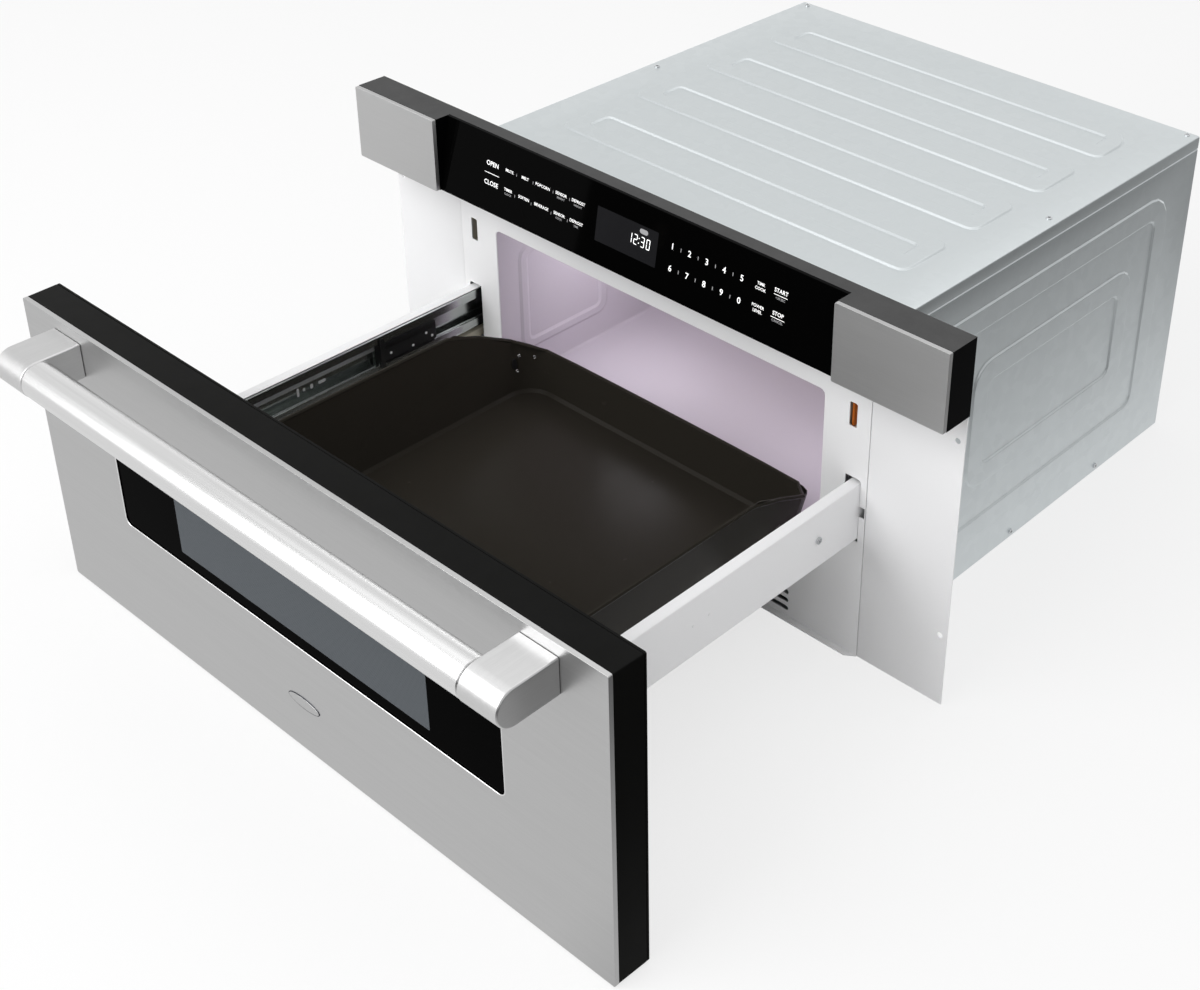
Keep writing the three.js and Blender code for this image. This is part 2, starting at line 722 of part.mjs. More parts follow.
function cabinetTop() {
  const section = bentSection([
    [half, CABINET_HEIGHT - CASE_FLANGE],
    [half, CABINET_HEIGHT],
    [-half, CABINET_HEIGHT],
    [-half, CABINET_HEIGHT - CASE_FLANGE],
  ], CASE_SHEET);
  const beads = [];
  for (let i = 0; i < TOP_BEADS; i += 1) {
    const centre = cabinetDepth - TOP_BEAD_REAR - i * TOP_BEAD_PITCH;
    const rear = i === 0 ? TOP_BEAD_REAR_CORNER : TOP_BEAD_CORNER;
    beads.push(frameBead(
      -TOP_BEAD_LENGTH / 2, TOP_BEAD_LENGTH / 2,
      centre - TOP_BEAD_WIDTH / 2, centre + TOP_BEAD_WIDTH / 2,
      TOP_BEAD_BAND, [TOP_BEAD_CORNER, TOP_BEAD_CORNER, rear, rear], TOP_BEAD_CORNER / 3,
      i === 0 ? CORNER_STEPS : SMALL_STEPS));
  }
  const raised = new THREE.Matrix4().makeTranslation(0, 0, CABINET_HEIGHT);
  return press(alongY(section, behindFrame, cabinetDepth), beads, CASE_SHEET, BEAD_HEIGHT, raised,
    BEAD_SLOPE);
}

function cabinetSide() {
  const tuck = CASE_SHEET + SEAM;
  const seamZ = CABINET_HEIGHT - CASE_FLANGE - SEAM;
  const section = bentSection([
    [half, CASE_LIFT],
    [half, seamZ - tuck],
    [half - tuck, seamZ],
    [half - tuck, CABINET_HEIGHT - CASE_SHEET - SEAM - BEND_RADIUS],
  ], CASE_SHEET, JOGGLE_RADIUS);
  const rear = cabinetDepth - SIDE_BEAD_REAR;
  const top = SIDE_BEAD_BOTTOM + SIDE_BEAD_HEIGHT;
  const innerRear = cabinetDepth - SIDE_INNER_BEAD_REAR;
  const innerTop = SIDE_INNER_BEAD_BOTTOM + SIDE_INNER_BEAD_HEIGHT;
  const beads = [
    frameBead(SIDE_BEAD_FRONT, rear, SIDE_BEAD_BOTTOM, top,
      SIDE_BEAD_BAND, SIDE_BEAD_CORNER, SIDE_BEAD_CORNER / 4, CORNER_STEPS),
    frameBead(innerRear - SIDE_INNER_BEAD_LENGTH, innerRear, SIDE_INNER_BEAD_BOTTOM, innerTop,
      SIDE_BEAD_BAND, SIDE_INNER_BEAD_CORNER, SIDE_BEAD_CORNER / 5, CORNER_STEPS),
  ];
  const outwards = ONTO_YZ.clone().setPosition(half, 0, 0);
  return press(alongY(section, behindFrame, cabinetDepth), beads, CASE_SHEET, BEAD_HEIGHT, outwards,
    BEAD_SLOPE);
}

function cabinetBase() {
  const edge = half - CASE_SHEET - SEAM;
  const section = bentSection(
    [[-edge, CASE_FLANGE], [-edge, 0], [edge, 0], [edge, CASE_FLANGE]], CASE_SHEET);
  const rib = (x) => ({
    outer: [x - BASE_RIB_WIDTH / 2, x + BASE_RIB_WIDTH / 2,
      BASE_RIB_FRONT, BASE_RIB_FRONT + BASE_RIB_LENGTH, BASE_RIB_WIDTH * 0.47],
  });
  const inside = new THREE.Matrix4().makeTranslation(0, 0, CASE_SHEET);
  const floor = alongY(section, behindFrame, cabinetDepth - CASE_SHEET - SEAM);
  return press(floor, [rib(-BASE_RIB_SPACING / 2), rib(BASE_RIB_SPACING / 2)],
    CASE_SHEET, BEAD_HEIGHT, inside);
}

function cabinetBack() {
  const edge = half - CASE_SHEET - SEAM;
  const shoulder = edge - CASE_SHEET - SEAM;
  const top = CABINET_HEIGHT - CASE_SHEET - SEAM;
  const flangeBottom = CASE_FLANGE + 2 * CASE_SHEET;
  const flangeTop = CABINET_HEIGHT - CASE_FLANGE - 3 * CASE_SHEET;
  const plate = polygon([
    [-edge, CASE_LIFT], [edge, CASE_LIFT], [edge, flangeTop], [shoulder, flangeTop],
    [shoulder, top], [-shoulder, top], [-shoulder, flangeTop], [-edge, flangeTop],
  ]);
  const vents = [];
  for (let row = 0; row < VENT_ROWS; row += 1) {
    for (let column = 0; column < VENT_COLUMNS; column += 1) {
      const x = (column - (VENT_COLUMNS - 1) / 2) * VENT_PITCH_X;
      const z = VENT_BOTTOM + row * VENT_PITCH_Z;
      vents.push(roundedShape(x - VENT_WIDTH / 2, x + VENT_WIDTH / 2, z, z + VENT_HEIGHT,
        VENT_WIDTH / 3, 1));
    }
  }
  const entry = circle(GLAND_X, GLAND_Z, GLAND_NECK + SEAM);
  const sheet = alongY(withHoles(plate, [...vents, entry]), cabinetDepth - CASE_SHEET, cabinetDepth);
  const flange = (x0) => alongY(rectangle(x0, x0 + CASE_SHEET, flangeBottom, flangeTop),
    cabinetDepth - CASE_FLANGE, cabinetDepth - CASE_SHEET / 2);
  return union(sheet, flange(-edge), flange(edge - CASE_SHEET));
}

function cordGland() {
  const inner = CASE_SHEET + 2 * SEAM;
  const profile = [
    [GLAND_BORE, -GLAND_LIP], [GLAND_FLANGE - GLAND_LIP / 3, -GLAND_LIP],
    [GLAND_FLANGE, -GLAND_LIP * 0.6], [GLAND_FLANGE, 0], [GLAND_NECK, 0], [GLAND_NECK, inner],
    [GLAND_FLANGE - GLAND_LIP * 0.6, inner],
    [GLAND_NECK, inner + GLAND_LIP], [GLAND_BORE, inner + GLAND_LIP], [GLAND_BORE, -GLAND_LIP],
  ];
  const ring = turned(profile, 'y', 16).rotateX(Math.PI);
  return solid(ring.translate(GLAND_X, cabinetDepth + SEAM, GLAND_Z));
}

/* ----------------------------------------------------- front frame, flaps */

function railSlot() {
  const outer = railOuter + RAIL_SLOT_AIR;
  const bottom = RAIL_BOTTOM - RAIL_SLOT_BELOW;
  const top = railTop + RAIL_SLOT_ABOVE;
  const notchBottom = RAIL_BOTTOM + SCREW_NOTCH_BOTTOM;
  const notchTop = notchBottom + SCREW_NOTCH_HEIGHT;
  const body = roundedShape(outer - RAIL_SLOT_WIDTH, outer, bottom, top,
    [RAIL_SLOT_CORNER / 6, RAIL_SLOT_CORNER / 6, RAIL_SLOT_CORNER, RAIL_SLOT_CORNER / 6]);
  return union(
    alongY(body, -CUT, FRAME_SHEET + CUT),
    alongY(rectangle(outer - CUT, outer + SCREW_NOTCH_WIDTH, notchBottom, notchTop),
      -CUT, FRAME_SHEET + CUT));
}

function frontFrame() {
  const plate = alongY(rectangle(-half, half, 0, CABINET_HEIGHT), 0, FRAME_SHEET);
  const lip = alongZ(polygon([
    [-half, 0.5 * FRAME_SHEET], [-half + LIP_MITRE, -LIP_DEPTH],
    [half - LIP_MITRE, -LIP_DEPTH], [half, 0.5 * FRAME_SHEET],
  ]), 0, FRAME_SHEET);
  const through = (shape) => alongY(shape, -CUT, FRAME_SHEET + CUT);
  const mouth = through(roundedShape(
    -mouthHalf, mouthHalf, MOUTH_BOTTOM, mouthTop, MOUTH_CORNER, SMALL_STEPS));
  const latchSlot = (x) => through(roundedShape(
    x - LATCH_SLOT_WIDTH / 2, x + LATCH_SLOT_WIDTH / 2,
    LATCH_Z - LATCH_SLOT_HEIGHT / 2, LATCH_Z + LATCH_SLOT_HEIGHT / 2, LATCH_SLOT_CORNER, 1));
  const louvres = [];
  for (let i = 0; i < LOUVRES; i += 1) {
    const z = LOUVRE_BOTTOM + i * LOUVRE_PITCH;
    for (const side of [-1, 1]) {
      const ends = [side * LOUVRE_WEB / 2, side * LOUVRE_SPAN / 2].sort((a, b) => a - b);
      louvres.push(through(roundedShape(...ends, z, z + LOUVRE_HEIGHT, LOUVRE_HEIGHT * 0.45, 2)));
    }
  }
  const slotRight = railSlot();
  const slotLeft = solid(mirrored(geometryOf(slotRight)));
  return cut(union(plate, lip), mouth, latchSlot(latchX), latchSlot(-latchX),
    slotRight, slotLeft, ...louvres);
}

function flap() {
  const inner = half + SEAM;
  const outer = PANEL_WIDTH / 2 - FLAP_INSET;
  const section = bentSection(
    [[inner, FLAP_LEG], [inner, 0], [outer, 0]], FRAME_SHEET, JOGGLE_RADIUS);
  const sheet = alongZ(section, FLAP_BOTTOM, CABINET_HEIGHT);
  const holes = [0, 1].map((i) => alongY(
    circle(outer - FLAP_HOLE_INSET, FLAP_HOLE_BOTTOM + i * FLAP_HOLE_SPACING, FLAP_HOLE_RADIUS, 16),
    -CUT, FRAME_SHEET + CUT));
  return cut(sheet, ...holes);
}

/* ------------------------------------------------------------------ oven */

function cavityLiner() {
  const outerLoop = roundedShape(-mouthHalf - LINER_SHEET, mouthHalf + LINER_SHEET,
    MOUTH_BOTTOM - LINER_SHEET, mouthTop + LINER_SHEET, MOUTH_CORNER + LINER_SHEET, SMALL_STEPS);
  const innerLoop = roundedShape(
    -mouthHalf, mouthHalf, MOUTH_BOTTOM, mouthTop, MOUTH_CORNER, SMALL_STEPS);
  const flangeLoop = roundedShape(-mouthHalf - LINER_FLANGE, mouthHalf + LINER_FLANGE,
    MOUTH_BOTTOM - LINER_FLANGE, mouthTop + LINER_FLANGE, LINER_FLANGE, SMALL_STEPS);
  const shell = union(
    alongY(outerLoop, behindFrame, linerRear + LINER_SHEET),
    alongY(flangeLoop, behindFrame, behindFrame + LINER_SHEET));
  const feed = alongZ(circle(0, FEED_Y, FEED_RADIUS), mouthTop - CUT, mouthTop + LINER_SHEET + CUT);
  const box = cut(shell, alongY(innerLoop, behindFrame - CUT, linerRear), feed);
  const bottom = MOUTH_BOTTOM + WALL_BEAD_BOTTOM;
  const rear = WALL_BEAD_FRONT + WALL_BEAD_LENGTH;
  const bead = (front, back) => frameBead(front, back, bottom, bottom + WALL_BEAD_HEIGHT,
    WALL_BEAD_BAND, WALL_BEAD_CORNER, WALL_BEAD_CORNER / 4);
  const leftWall = ONTO_YZ.clone().setPosition(-mouthHalf, 0, 0);
  const rightWall = new THREE.Matrix4().makeBasis(
    new THREE.Vector3(0, -1, 0), new THREE.Vector3(0, 0, 1), new THREE.Vector3(-1, 0, 0))
    .setPosition(mouthHalf, 0, 0);
  const pressedLeft = press(box, [bead(WALL_BEAD_FRONT, rear)], LINER_SHEET, WALL_BEAD_PRESS, leftWall);
  return press(pressedLeft, [bead(-rear, -WALL_BEAD_FRONT)], LINER_SHEET, WALL_BEAD_PRESS, rightWall);
}

function stirrerCover() {
  const reach = COVER_WIDTH / 2;
  const top = mouthTop - SEAM;
  const level = (inset, radius, z) => ({
    loop: roundedLoop(-reach + inset, reach - inset, FEED_Y - reach + inset, FEED_Y + reach - inset, radius),
    z,
  });
  const outer = solid(loft([
    level(COVER_DRAFT, COVER_CORNER, top - COVER_DEPTH),
    level(0, COVER_CORNER + COVER_DRAFT, top),
  ]));
  const inner = solid(loft([
    level(COVER_DRAFT + COVER_WALL, COVER_CORNER, top - COVER_DEPTH + COVER_WALL),
    level(COVER_WALL, COVER_CORNER + COVER_DRAFT, top + SEAM / 2),
  ]));
  return cut(outer, inner);
}

function waveguide() {
  const base = mouthTop + LINER_SHEET + SEAM;
  const front = FEED_Y - GUIDE_FRONT_REACH;
  const rear = cabinetDepth - CASE_SHEET - GUIDE_REAR_AIR;
  const duct = (wall) => polygon([
    [front + wall, base + wall], [rear - wall, base + wall],
    [rear - wall, base + GUIDE_HEIGHT - GUIDE_MITRE], [rear - GUIDE_MITRE, base + GUIDE_HEIGHT - wall],
    [front + GUIDE_MITRE, base + GUIDE_HEIGHT - wall], [front + wall, base + GUIDE_HEIGHT - GUIDE_MITRE],
  ]);
  const wide = GUIDE_WIDTH / 2;
  const shell = cut(alongX(duct(0), -wide, wide),
    alongX(duct(GUIDE_WALL), -wide + GUIDE_WALL, wide - GUIDE_WALL));
  const foot = alongZ(rectangle(-wide - GUIDE_FLANGE, wide + GUIDE_FLANGE, front - GUIDE_FLANGE, linerRear),
    base, base + GUIDE_WALL);
  const inside = alongZ(rectangle(-wide + GUIDE_WALL, wide - GUIDE_WALL, front + GUIDE_WALL, linerRear + CUT),
    base - CUT, base + 2 * GUIDE_WALL);
  const antennaHole = alongZ(circle(0, bayCentre, MAGNETRON_ANTENNA + ANTENNA_AIR),
    base - CUT, base + 2 * GUIDE_WALL);
  const shaftHole = alongZ(circle(0, FEED_Y, STIRRER_SHAFT + SHAFT_AIR, 16),
    base + GUIDE_HEIGHT / 2, base + GUIDE_HEIGHT + CUT);
  const floorAgain = alongZ(withHoles(
    rectangle(-wide + GUIDE_WALL / 2, wide - GUIDE_WALL / 2, front + GUIDE_WALL / 2, linerRear),
    [circle(0, FEED_Y, FEED_RADIUS)]), base, base + GUIDE_WALL);
  return cut(union(cut(union(shell, foot), inside), floorAgain), antennaHole, shaftHole);
}

function stirrerMotor() {
  const seat = mouthTop + LINER_SHEET + GUIDE_HEIGHT + 2 * SEAM;
  const can = solid(turned([
    [0, seat], [STIRRER_MOTOR_RADIUS, seat],
    [STIRRER_MOTOR_RADIUS, seat + STIRRER_MOTOR_HEIGHT - STIRRER_MOTOR_BEVEL],
    [STIRRER_MOTOR_RADIUS - STIRRER_MOTOR_BEVEL, seat + STIRRER_MOTOR_HEIGHT],
    [0, seat + STIRRER_MOTOR_HEIGHT],
  ]).translate(0, FEED_Y, 0));
  const earHalf = STIRRER_EAR_WIDTH / 2;
  const ears = alongZ(roundedShape(
    -STIRRER_EAR, STIRRER_EAR, FEED_Y - earHalf, FEED_Y + earHalf, earHalf * 0.85, 3),
  seat, seat + GUIDE_WALL);
  const bearing = alongZ(circle(0, FEED_Y, STIRRER_SHAFT + BORE_FIT, 16),
    seat - CUT, seat + STIRRER_MOTOR_HEIGHT / 2);
  return cut(union(can, ears), bearing);
}

function modeStirrer() {
  const bladeZ = mouthTop - STIRRER_DROP;
  const shaftTop = mouthTop + LINER_SHEET + GUIDE_HEIGHT + STIRRER_MOTOR_HEIGHT / 2 - SEAM;
  const hubHalf = STIRRER_HUB_HEIGHT / 2;
  const shaft = solid(turned([
    [0, bladeZ - hubHalf], [STIRRER_HUB, bladeZ - hubHalf], [STIRRER_HUB, bladeZ + hubHalf],
    [STIRRER_SHAFT, bladeZ + 2 * hubHalf], [STIRRER_SHAFT, shaftTop], [0, shaftTop],
  ], 'z', 16));
  const blades = [];
  for (let i = 0; i < STIRRER_BLADES; i += 1) {
    const outline = polygon([
      [STIRRER_HUB / 2, -STIRRER_HUB / 2],
      [STIRRER_RADIUS - STIRRER_TIP_TAPER, -STIRRER_BLADE_WIDTH / 2],
      [STIRRER_RADIUS, -STIRRER_BLADE_WIDTH / 4], [STIRRER_RADIUS, STIRRER_BLADE_WIDTH / 4],
      [STIRRER_RADIUS - STIRRER_TIP_TAPER, STIRRER_BLADE_WIDTH / 2],
      [STIRRER_HUB / 2, STIRRER_HUB / 2],
    ]);
    const tilt = THREE.MathUtils.degToRad(i % 2 === 0 ? STIRRER_TILT : -STIRRER_TILT);
    blades.push(solid(extrusion(outline, STIRRER_SHEET)
      .translate(0, 0, -STIRRER_SHEET / 2)
      .rotateX(tilt)
      .rotateZ((2 * Math.PI * i) / STIRRER_BLADES + Math.PI / 4)
      .translate(0, 0, bladeZ)));
  }
  return solid(geometryOf(union(shaft, ...blades)).translate(0, FEED_Y, 0));
}

function cavityLamp() {
  const wall = mouthHalf + LINER_SHEET + SEAM;
  const side = LAMP_SIZE / 2;
  const back = wall + LAMP_REACH - LAMP_WALL;
  const outline = () => roundedShape(
    LAMP_Y - side, LAMP_Y + side, LAMP_Z - side, LAMP_Z + side, LAMP_CORNER, 2);
  const housing = alongX(withHoles(outline(), [circle(LAMP_Y, LAMP_Z, side - LAMP_WALL, 16)]),
    wall, back - LAMP_WALL / 2);
  const cap = alongX(outline(), back - LAMP_WALL, back);
  const bulb = solid(turned([
    [0, LAMP_BULB_RADIUS * 0.3], [LAMP_BULB_RADIUS * 0.6, LAMP_BULB_RADIUS * 0.45],
    [LAMP_BULB_RADIUS, LAMP_BULB_RADIUS * 1.1], [LAMP_BULB_RADIUS, LAMP_BULB_LENGTH - LAMP_NECK_RADIUS],
    [LAMP_NECK_RADIUS, LAMP_BULB_LENGTH], [LAMP_NECK_RADIUS, LAMP_REACH - LAMP_WALL - BITE],
    [0, LAMP_REACH - LAMP_WALL - BITE],
  ], 'x', 12).translate(wall, LAMP_Y, LAMP_Z));
  const terminals = [-1, 1].map((place) => {
    const y = LAMP_Y + place * LAMP_TERMINAL_SPREAD;
    return alongX(rectangle(y - LAMP_TERMINAL_SHEET / 2, y + LAMP_TERMINAL_SHEET / 2,
      LAMP_Z - LAMP_TERMINAL_WIDTH / 2, LAMP_Z + LAMP_TERMINAL_WIDTH / 2),
    back - BITE, back + LAMP_TERMINAL_LENGTH);
  });
  return union(housing, cap, bulb, ...terminals);
}

/* ----------------------------------------------------------- machine bay */

function magnetron() {
  const top = mouthTop + LINER_SHEET;
  const bottom = top - MAGNETRON_HEIGHT;
  const wide = MAGNETRON_WIDTH / 2;
  const yoke = alongY(withHoles(rectangle(-wide, wide, bottom, top),
    [rectangle(-wide + MAGNETRON_YOKE, wide - MAGNETRON_YOKE,
      bottom + MAGNETRON_YOKE, top - MAGNETRON_YOKE)]), -wide * 0.7, wide * 0.7);
  const core = solid(turned(rod(MAGNETRON_CORE, bottom + BITE, top - BITE), 'z', 12));
  const magnets = [bottom + MAGNETRON_YOKE - BITE, top - MAGNETRON_YOKE + BITE - MAGNET_HEIGHT].map((z) =>
    solid(turned(rod(MAGNETRON_CORE + MAGNET_RIM, z, z + MAGNET_HEIGHT), 'z', 16)));
  const finRoom = MAGNETRON_HEIGHT - 2 * (MAGNETRON_YOKE + MAGNET_HEIGHT);
  const finHalf = wide - MAGNETRON_YOKE / 2;
  const fins = [];
  for (let i = 0; i < MAGNETRON_FINS; i += 1) {
    const z = bottom + MAGNETRON_YOKE + MAGNET_HEIGHT + (finRoom * (i + 0.5)) / MAGNETRON_FINS;
    fins.push(alongZ(rectangle(-finHalf, finHalf, -wide * 0.65, wide * 0.65), z, z + MAGNETRON_FIN_SHEET));
  }
  const filter = alongZ(rectangle(-wide * 0.8, wide * 0.8, -wide * 0.6, wide * 0.6),
    bottom - MAGNETRON_FILTER, bottom + BITE);
  const antennaTop = top + MAGNETRON_ANTENNA_HEIGHT;
  const antenna = solid(turned([
    [0, top - BITE], [MAGNETRON_ANTENNA, top - BITE], [MAGNETRON_ANTENNA, antennaTop - MAGNETRON_ANTENNA / 4],
    [MAGNETRON_ANTENNA * 0.75, antennaTop], [0, antennaTop],
  ], 'z', 12));
  return solid(geometryOf(union(yoke, core, ...magnets, ...fins, filter, antenna))
    .translate(0, bayCentre, 0));
}

function transformerCore() {
  const wide = TRANSFORMER_WIDTH / 2;
  const inner = TRANSFORMER_CORE_LEG / 2;
  const top = floorTop + TRANSFORMER_HEIGHT;
  const windows = [-1, 1].map((side) => rectangle(
    ...[side * inner, side * (wide - TRANSFORMER_LEG)].sort((a, b) => a - b),
    floorTop + TRANSFORMER_LEG, top - TRANSFORMER_LEG));
  const stack = alongY(withHoles(rectangle(-wide, wide, floorTop, top), windows),
    bayCentre - TRANSFORMER_STACK / 2, bayCentre + TRANSFORMER_STACK / 2);
  return solid(geometryOf(stack).translate(TRANSFORMER_X, 0, 0));
}

function transformerWindings() {
  const x = TRANSFORMER_CORE_LEG / 2 + SEAM;
  const y = TRANSFORMER_STACK / 2 + SEAM;
  const bottom = floorTop + TRANSFORMER_LEG + SEAM;
  const top = floorTop + TRANSFORMER_HEIGHT - TRANSFORMER_LEG - SEAM;
  const middle = (bottom + top) / 2;
  const coil = (z0, z1, thickness) => alongZ(withHoles(
    roundedShape(-x - thickness, x + thickness, -y - thickness, y + thickness, thickness, SMALL_STEPS),
    [rectangle(-x, x, -y, y)]), z0, z1);
  const primary = coil(bottom, middle - BITE, WINDING_THICKNESS);
  const spacer = coil(middle - 1.5 * BITE, middle + 1.5 * BITE, WINDING_THICKNESS / 2);
  const secondary = coil(middle + BITE, top, WINDING_THICKNESS);
  return solid(geometryOf(union(primary, spacer, secondary)).translate(TRANSFORMER_X, bayCentre, 0));
}

function capacitor() {
  const x = CAPACITOR_LENGTH / 2;
  const y = CAPACITOR_THICKNESS / 2;
  const can = alongZ(roundedShape(
    CAPACITOR_X - x, CAPACITOR_X + x, bayCentre - y, bayCentre + y, y * 0.95, 5),
  floorTop, floorTop + CAPACITOR_HEIGHT);
  const tabs = [-1, 1].map((side) => {
    const middle = CAPACITOR_X + side * x * 0.45;
    return alongZ(rectangle(middle - CAPACITOR_TAB / 3, middle + CAPACITOR_TAB / 3,
      bayCentre - CAPACITOR_TAB_SHEET / 2, bayCentre + CAPACITOR_TAB_SHEET / 2),
    floorTop + CAPACITOR_HEIGHT - BITE, floorTop + CAPACITOR_HEIGHT + CAPACITOR_TAB);
  });
  return union(can, ...tabs);
}

function fanShroud() {
  const y0 = bayFront + SHROUD_AIR;
  const y1 = cabinetDepth - CASE_SHEET - SHROUD_AIR;
  const section = bentSection([
    [SHROUD_X - SHROUD_FOOT, floorTop],
    [SHROUD_X, floorTop],
    [SHROUD_X, SHROUD_HEIGHT],
    [SHROUD_X - SHROUD_FOOT / 2, SHROUD_HEIGHT],
  ], SHROUD_SHEET);
  const plate = alongY(section, y0, y1);
  const lip = solid(turned([
    [ORIFICE_RADIUS, 0], [ORIFICE_RADIUS + ORIFICE_ROLL, 0], [ORIFICE_RADIUS + SHROUD_SHEET, ORIFICE_LIP],
    [ORIFICE_RADIUS, ORIFICE_LIP], [ORIFICE_RADIUS, 0],
  ], 'x').translate(SHROUD_X - SHROUD_SHEET / 2, bayCentre, FAN_Z));
  const opening = alongX(circle(bayCentre, FAN_Z, ORIFICE_RADIUS), SHROUD_X - SHROUD_SHEET - CUT,
    SHROUD_X + CUT);
  return union(cut(plate, opening), lip);
}

function fanRotor() {
  const hub = solid(turned([
    [0, -FAN_HUB_LENGTH / 2], [FAN_HUB - FAN_HUB_BEVEL, -FAN_HUB_LENGTH / 2],
    [FAN_HUB, FAN_HUB_BEVEL - FAN_HUB_LENGTH / 2], [FAN_HUB, FAN_HUB_LENGTH / 2], [0, FAN_HUB_LENGTH / 2],
  ], 'x', 20));
  const shaft = solid(turned(rod(FAN_SHAFT, -FAN_BRACKET - FAN_STACK / 2 + FAN_SET_BACK, 0), 'x', 12));
  const blades = [];
  for (let i = 0; i < FAN_BLADES; i += 1) {
    const outline = polygon([
      [FAN_HUB - FAN_ROOT, -FAN_CHORD * 0.2], [FAN_RADIUS * 0.7, -FAN_CHORD * 0.45],
      [FAN_RADIUS * 0.95, -FAN_CHORD * 0.3], [FAN_RADIUS * 0.985, 0],
      [FAN_RADIUS * 0.92, FAN_CHORD * 0.32], [FAN_RADIUS * 0.6, FAN_CHORD * 0.42],
      [FAN_HUB - FAN_ROOT, FAN_CHORD * 0.18],
    ]);
    blades.push(solid(extrusion(outline, FAN_BLADE_SHEET)
      .translate(0, 0, -FAN_BLADE_SHEET / 2)
      .rotateX(THREE.MathUtils.degToRad(FAN_PITCH))
      .rotateY(Math.PI / 2)
      .rotateX((2 * Math.PI * i) / FAN_BLADES)));
  }
  return solid(geometryOf(union(hub, shaft, ...blades))
    .translate(SHROUD_X - FAN_SET_BACK, bayCentre, FAN_Z));
}

function fanMotor() {
  const seat = SHROUD_X - SHROUD_SHEET - SEAM;
  const strip = SHROUD_X - FAN_BRACKET;
  const reach = FAN_BRACKET_SPAN / 2;
  const knee = reach - FAN_BRACKET_FOOT;
  const section = bentSection([
    [seat, bayCentre + reach], [seat, bayCentre + knee],
    [strip, bayCentre + knee - FAN_BRACKET_SLANT], [strip, bayCentre - knee + FAN_BRACKET_SLANT],
    [seat, bayCentre - knee], [seat, bayCentre - reach],
  ], -FAN_BRACKET_SHEET);
  const bracket = alongZ(section, FAN_Z - FAN_BRACKET_WIDTH / 2, FAN_Z + FAN_BRACKET_WIDTH / 2);
  const back = strip - FAN_STACK;
  const stack = alongX(rectangle(bayCentre - FAN_STACK_WIDTH / 2, bayCentre + FAN_STACK_WIDTH / 2,
    FAN_Z - FAN_STACK_HEIGHT + FAN_STACK_WIDTH / 2, FAN_Z + FAN_STACK_WIDTH / 2),
  back, strip - FAN_BRACKET_SHEET / 2);
  const coil = alongX(roundedShape(
    bayCentre - FAN_COIL / 2, bayCentre + FAN_COIL / 2,
    FAN_Z - FAN_STACK_HEIGHT + FAN_STACK_WIDTH / 2 - FAN_COIL_PROUD,
    FAN_Z - FAN_STACK_WIDTH / 2 + 2 * BITE, FAN_COIL_CORNER),
  back - FAN_COIL_PROUD, strip - FAN_BRACKET_SHEET);
  const bearing = alongX(circle(bayCentre, FAN_Z, FAN_SHAFT + BORE_FIT, 16), back - CUT, seat);
  return cut(union(bracket, stack, coil), bearing);
}

function powerBoard() {
  const x = BOARD_WIDTH / 2;
  const y = BOARD_DEPTH / 2;
  const middle = BOARD_LIFT + BOARD_SHEET / 2;
  const sheet = alongZ(roundedShape(-x, x, -y, y, BOARD_CORNER, 1), BOARD_LIFT, BOARD_LIFT + BOARD_SHEET);
  const posts = [[-1, -1], [1, -1], [1, 1], [-1, 1]].map(([sx, sy]) => solid(turned(
    rod(BOARD_POST, floorTop, middle), 'z', 10)
    .translate(sx * (x - BOARD_POST_INSET), sy * (y - BOARD_POST_INSET), 0)));
  const parts = BOARD_PARTS.map(([x0, x1, y0, y1, high]) => alongZ(
    rectangle(x0, x1, y0, y1), middle, BOARD_LIFT + BOARD_SHEET + high));
  return solid(geometryOf(union(sheet, ...posts, ...parts)).translate(BOARD_X, BOARD_Y, 0));
}

/* --------------------------------------------------------- control panel */

const lean = Math.atan2(GLASS_LEAN, PANEL_HEIGHT);
const glassFoot = panelFront + GLASS_FOOT;
const glassHalf = GLASS_WIDTH / 2;

// y of the leaning face that lies a given depth behind the front of the glass.
const leaningY = (z, depth) => glassFoot + (z - panelBottom) * Math.tan(lean) + depth / Math.cos(lean);

function controlGlass() {
  return alongX(polygon([
    [leaningY(panelBottom, 0), panelBottom], [leaningY(panelBottom, GLASS_SHEET), panelBottom],
    [leaningY(panelTop, GLASS_SHEET), panelTop], [leaningY(panelTop, 0), panelTop],
  ]), -glassHalf + SEAM, glassHalf - SEAM);
}

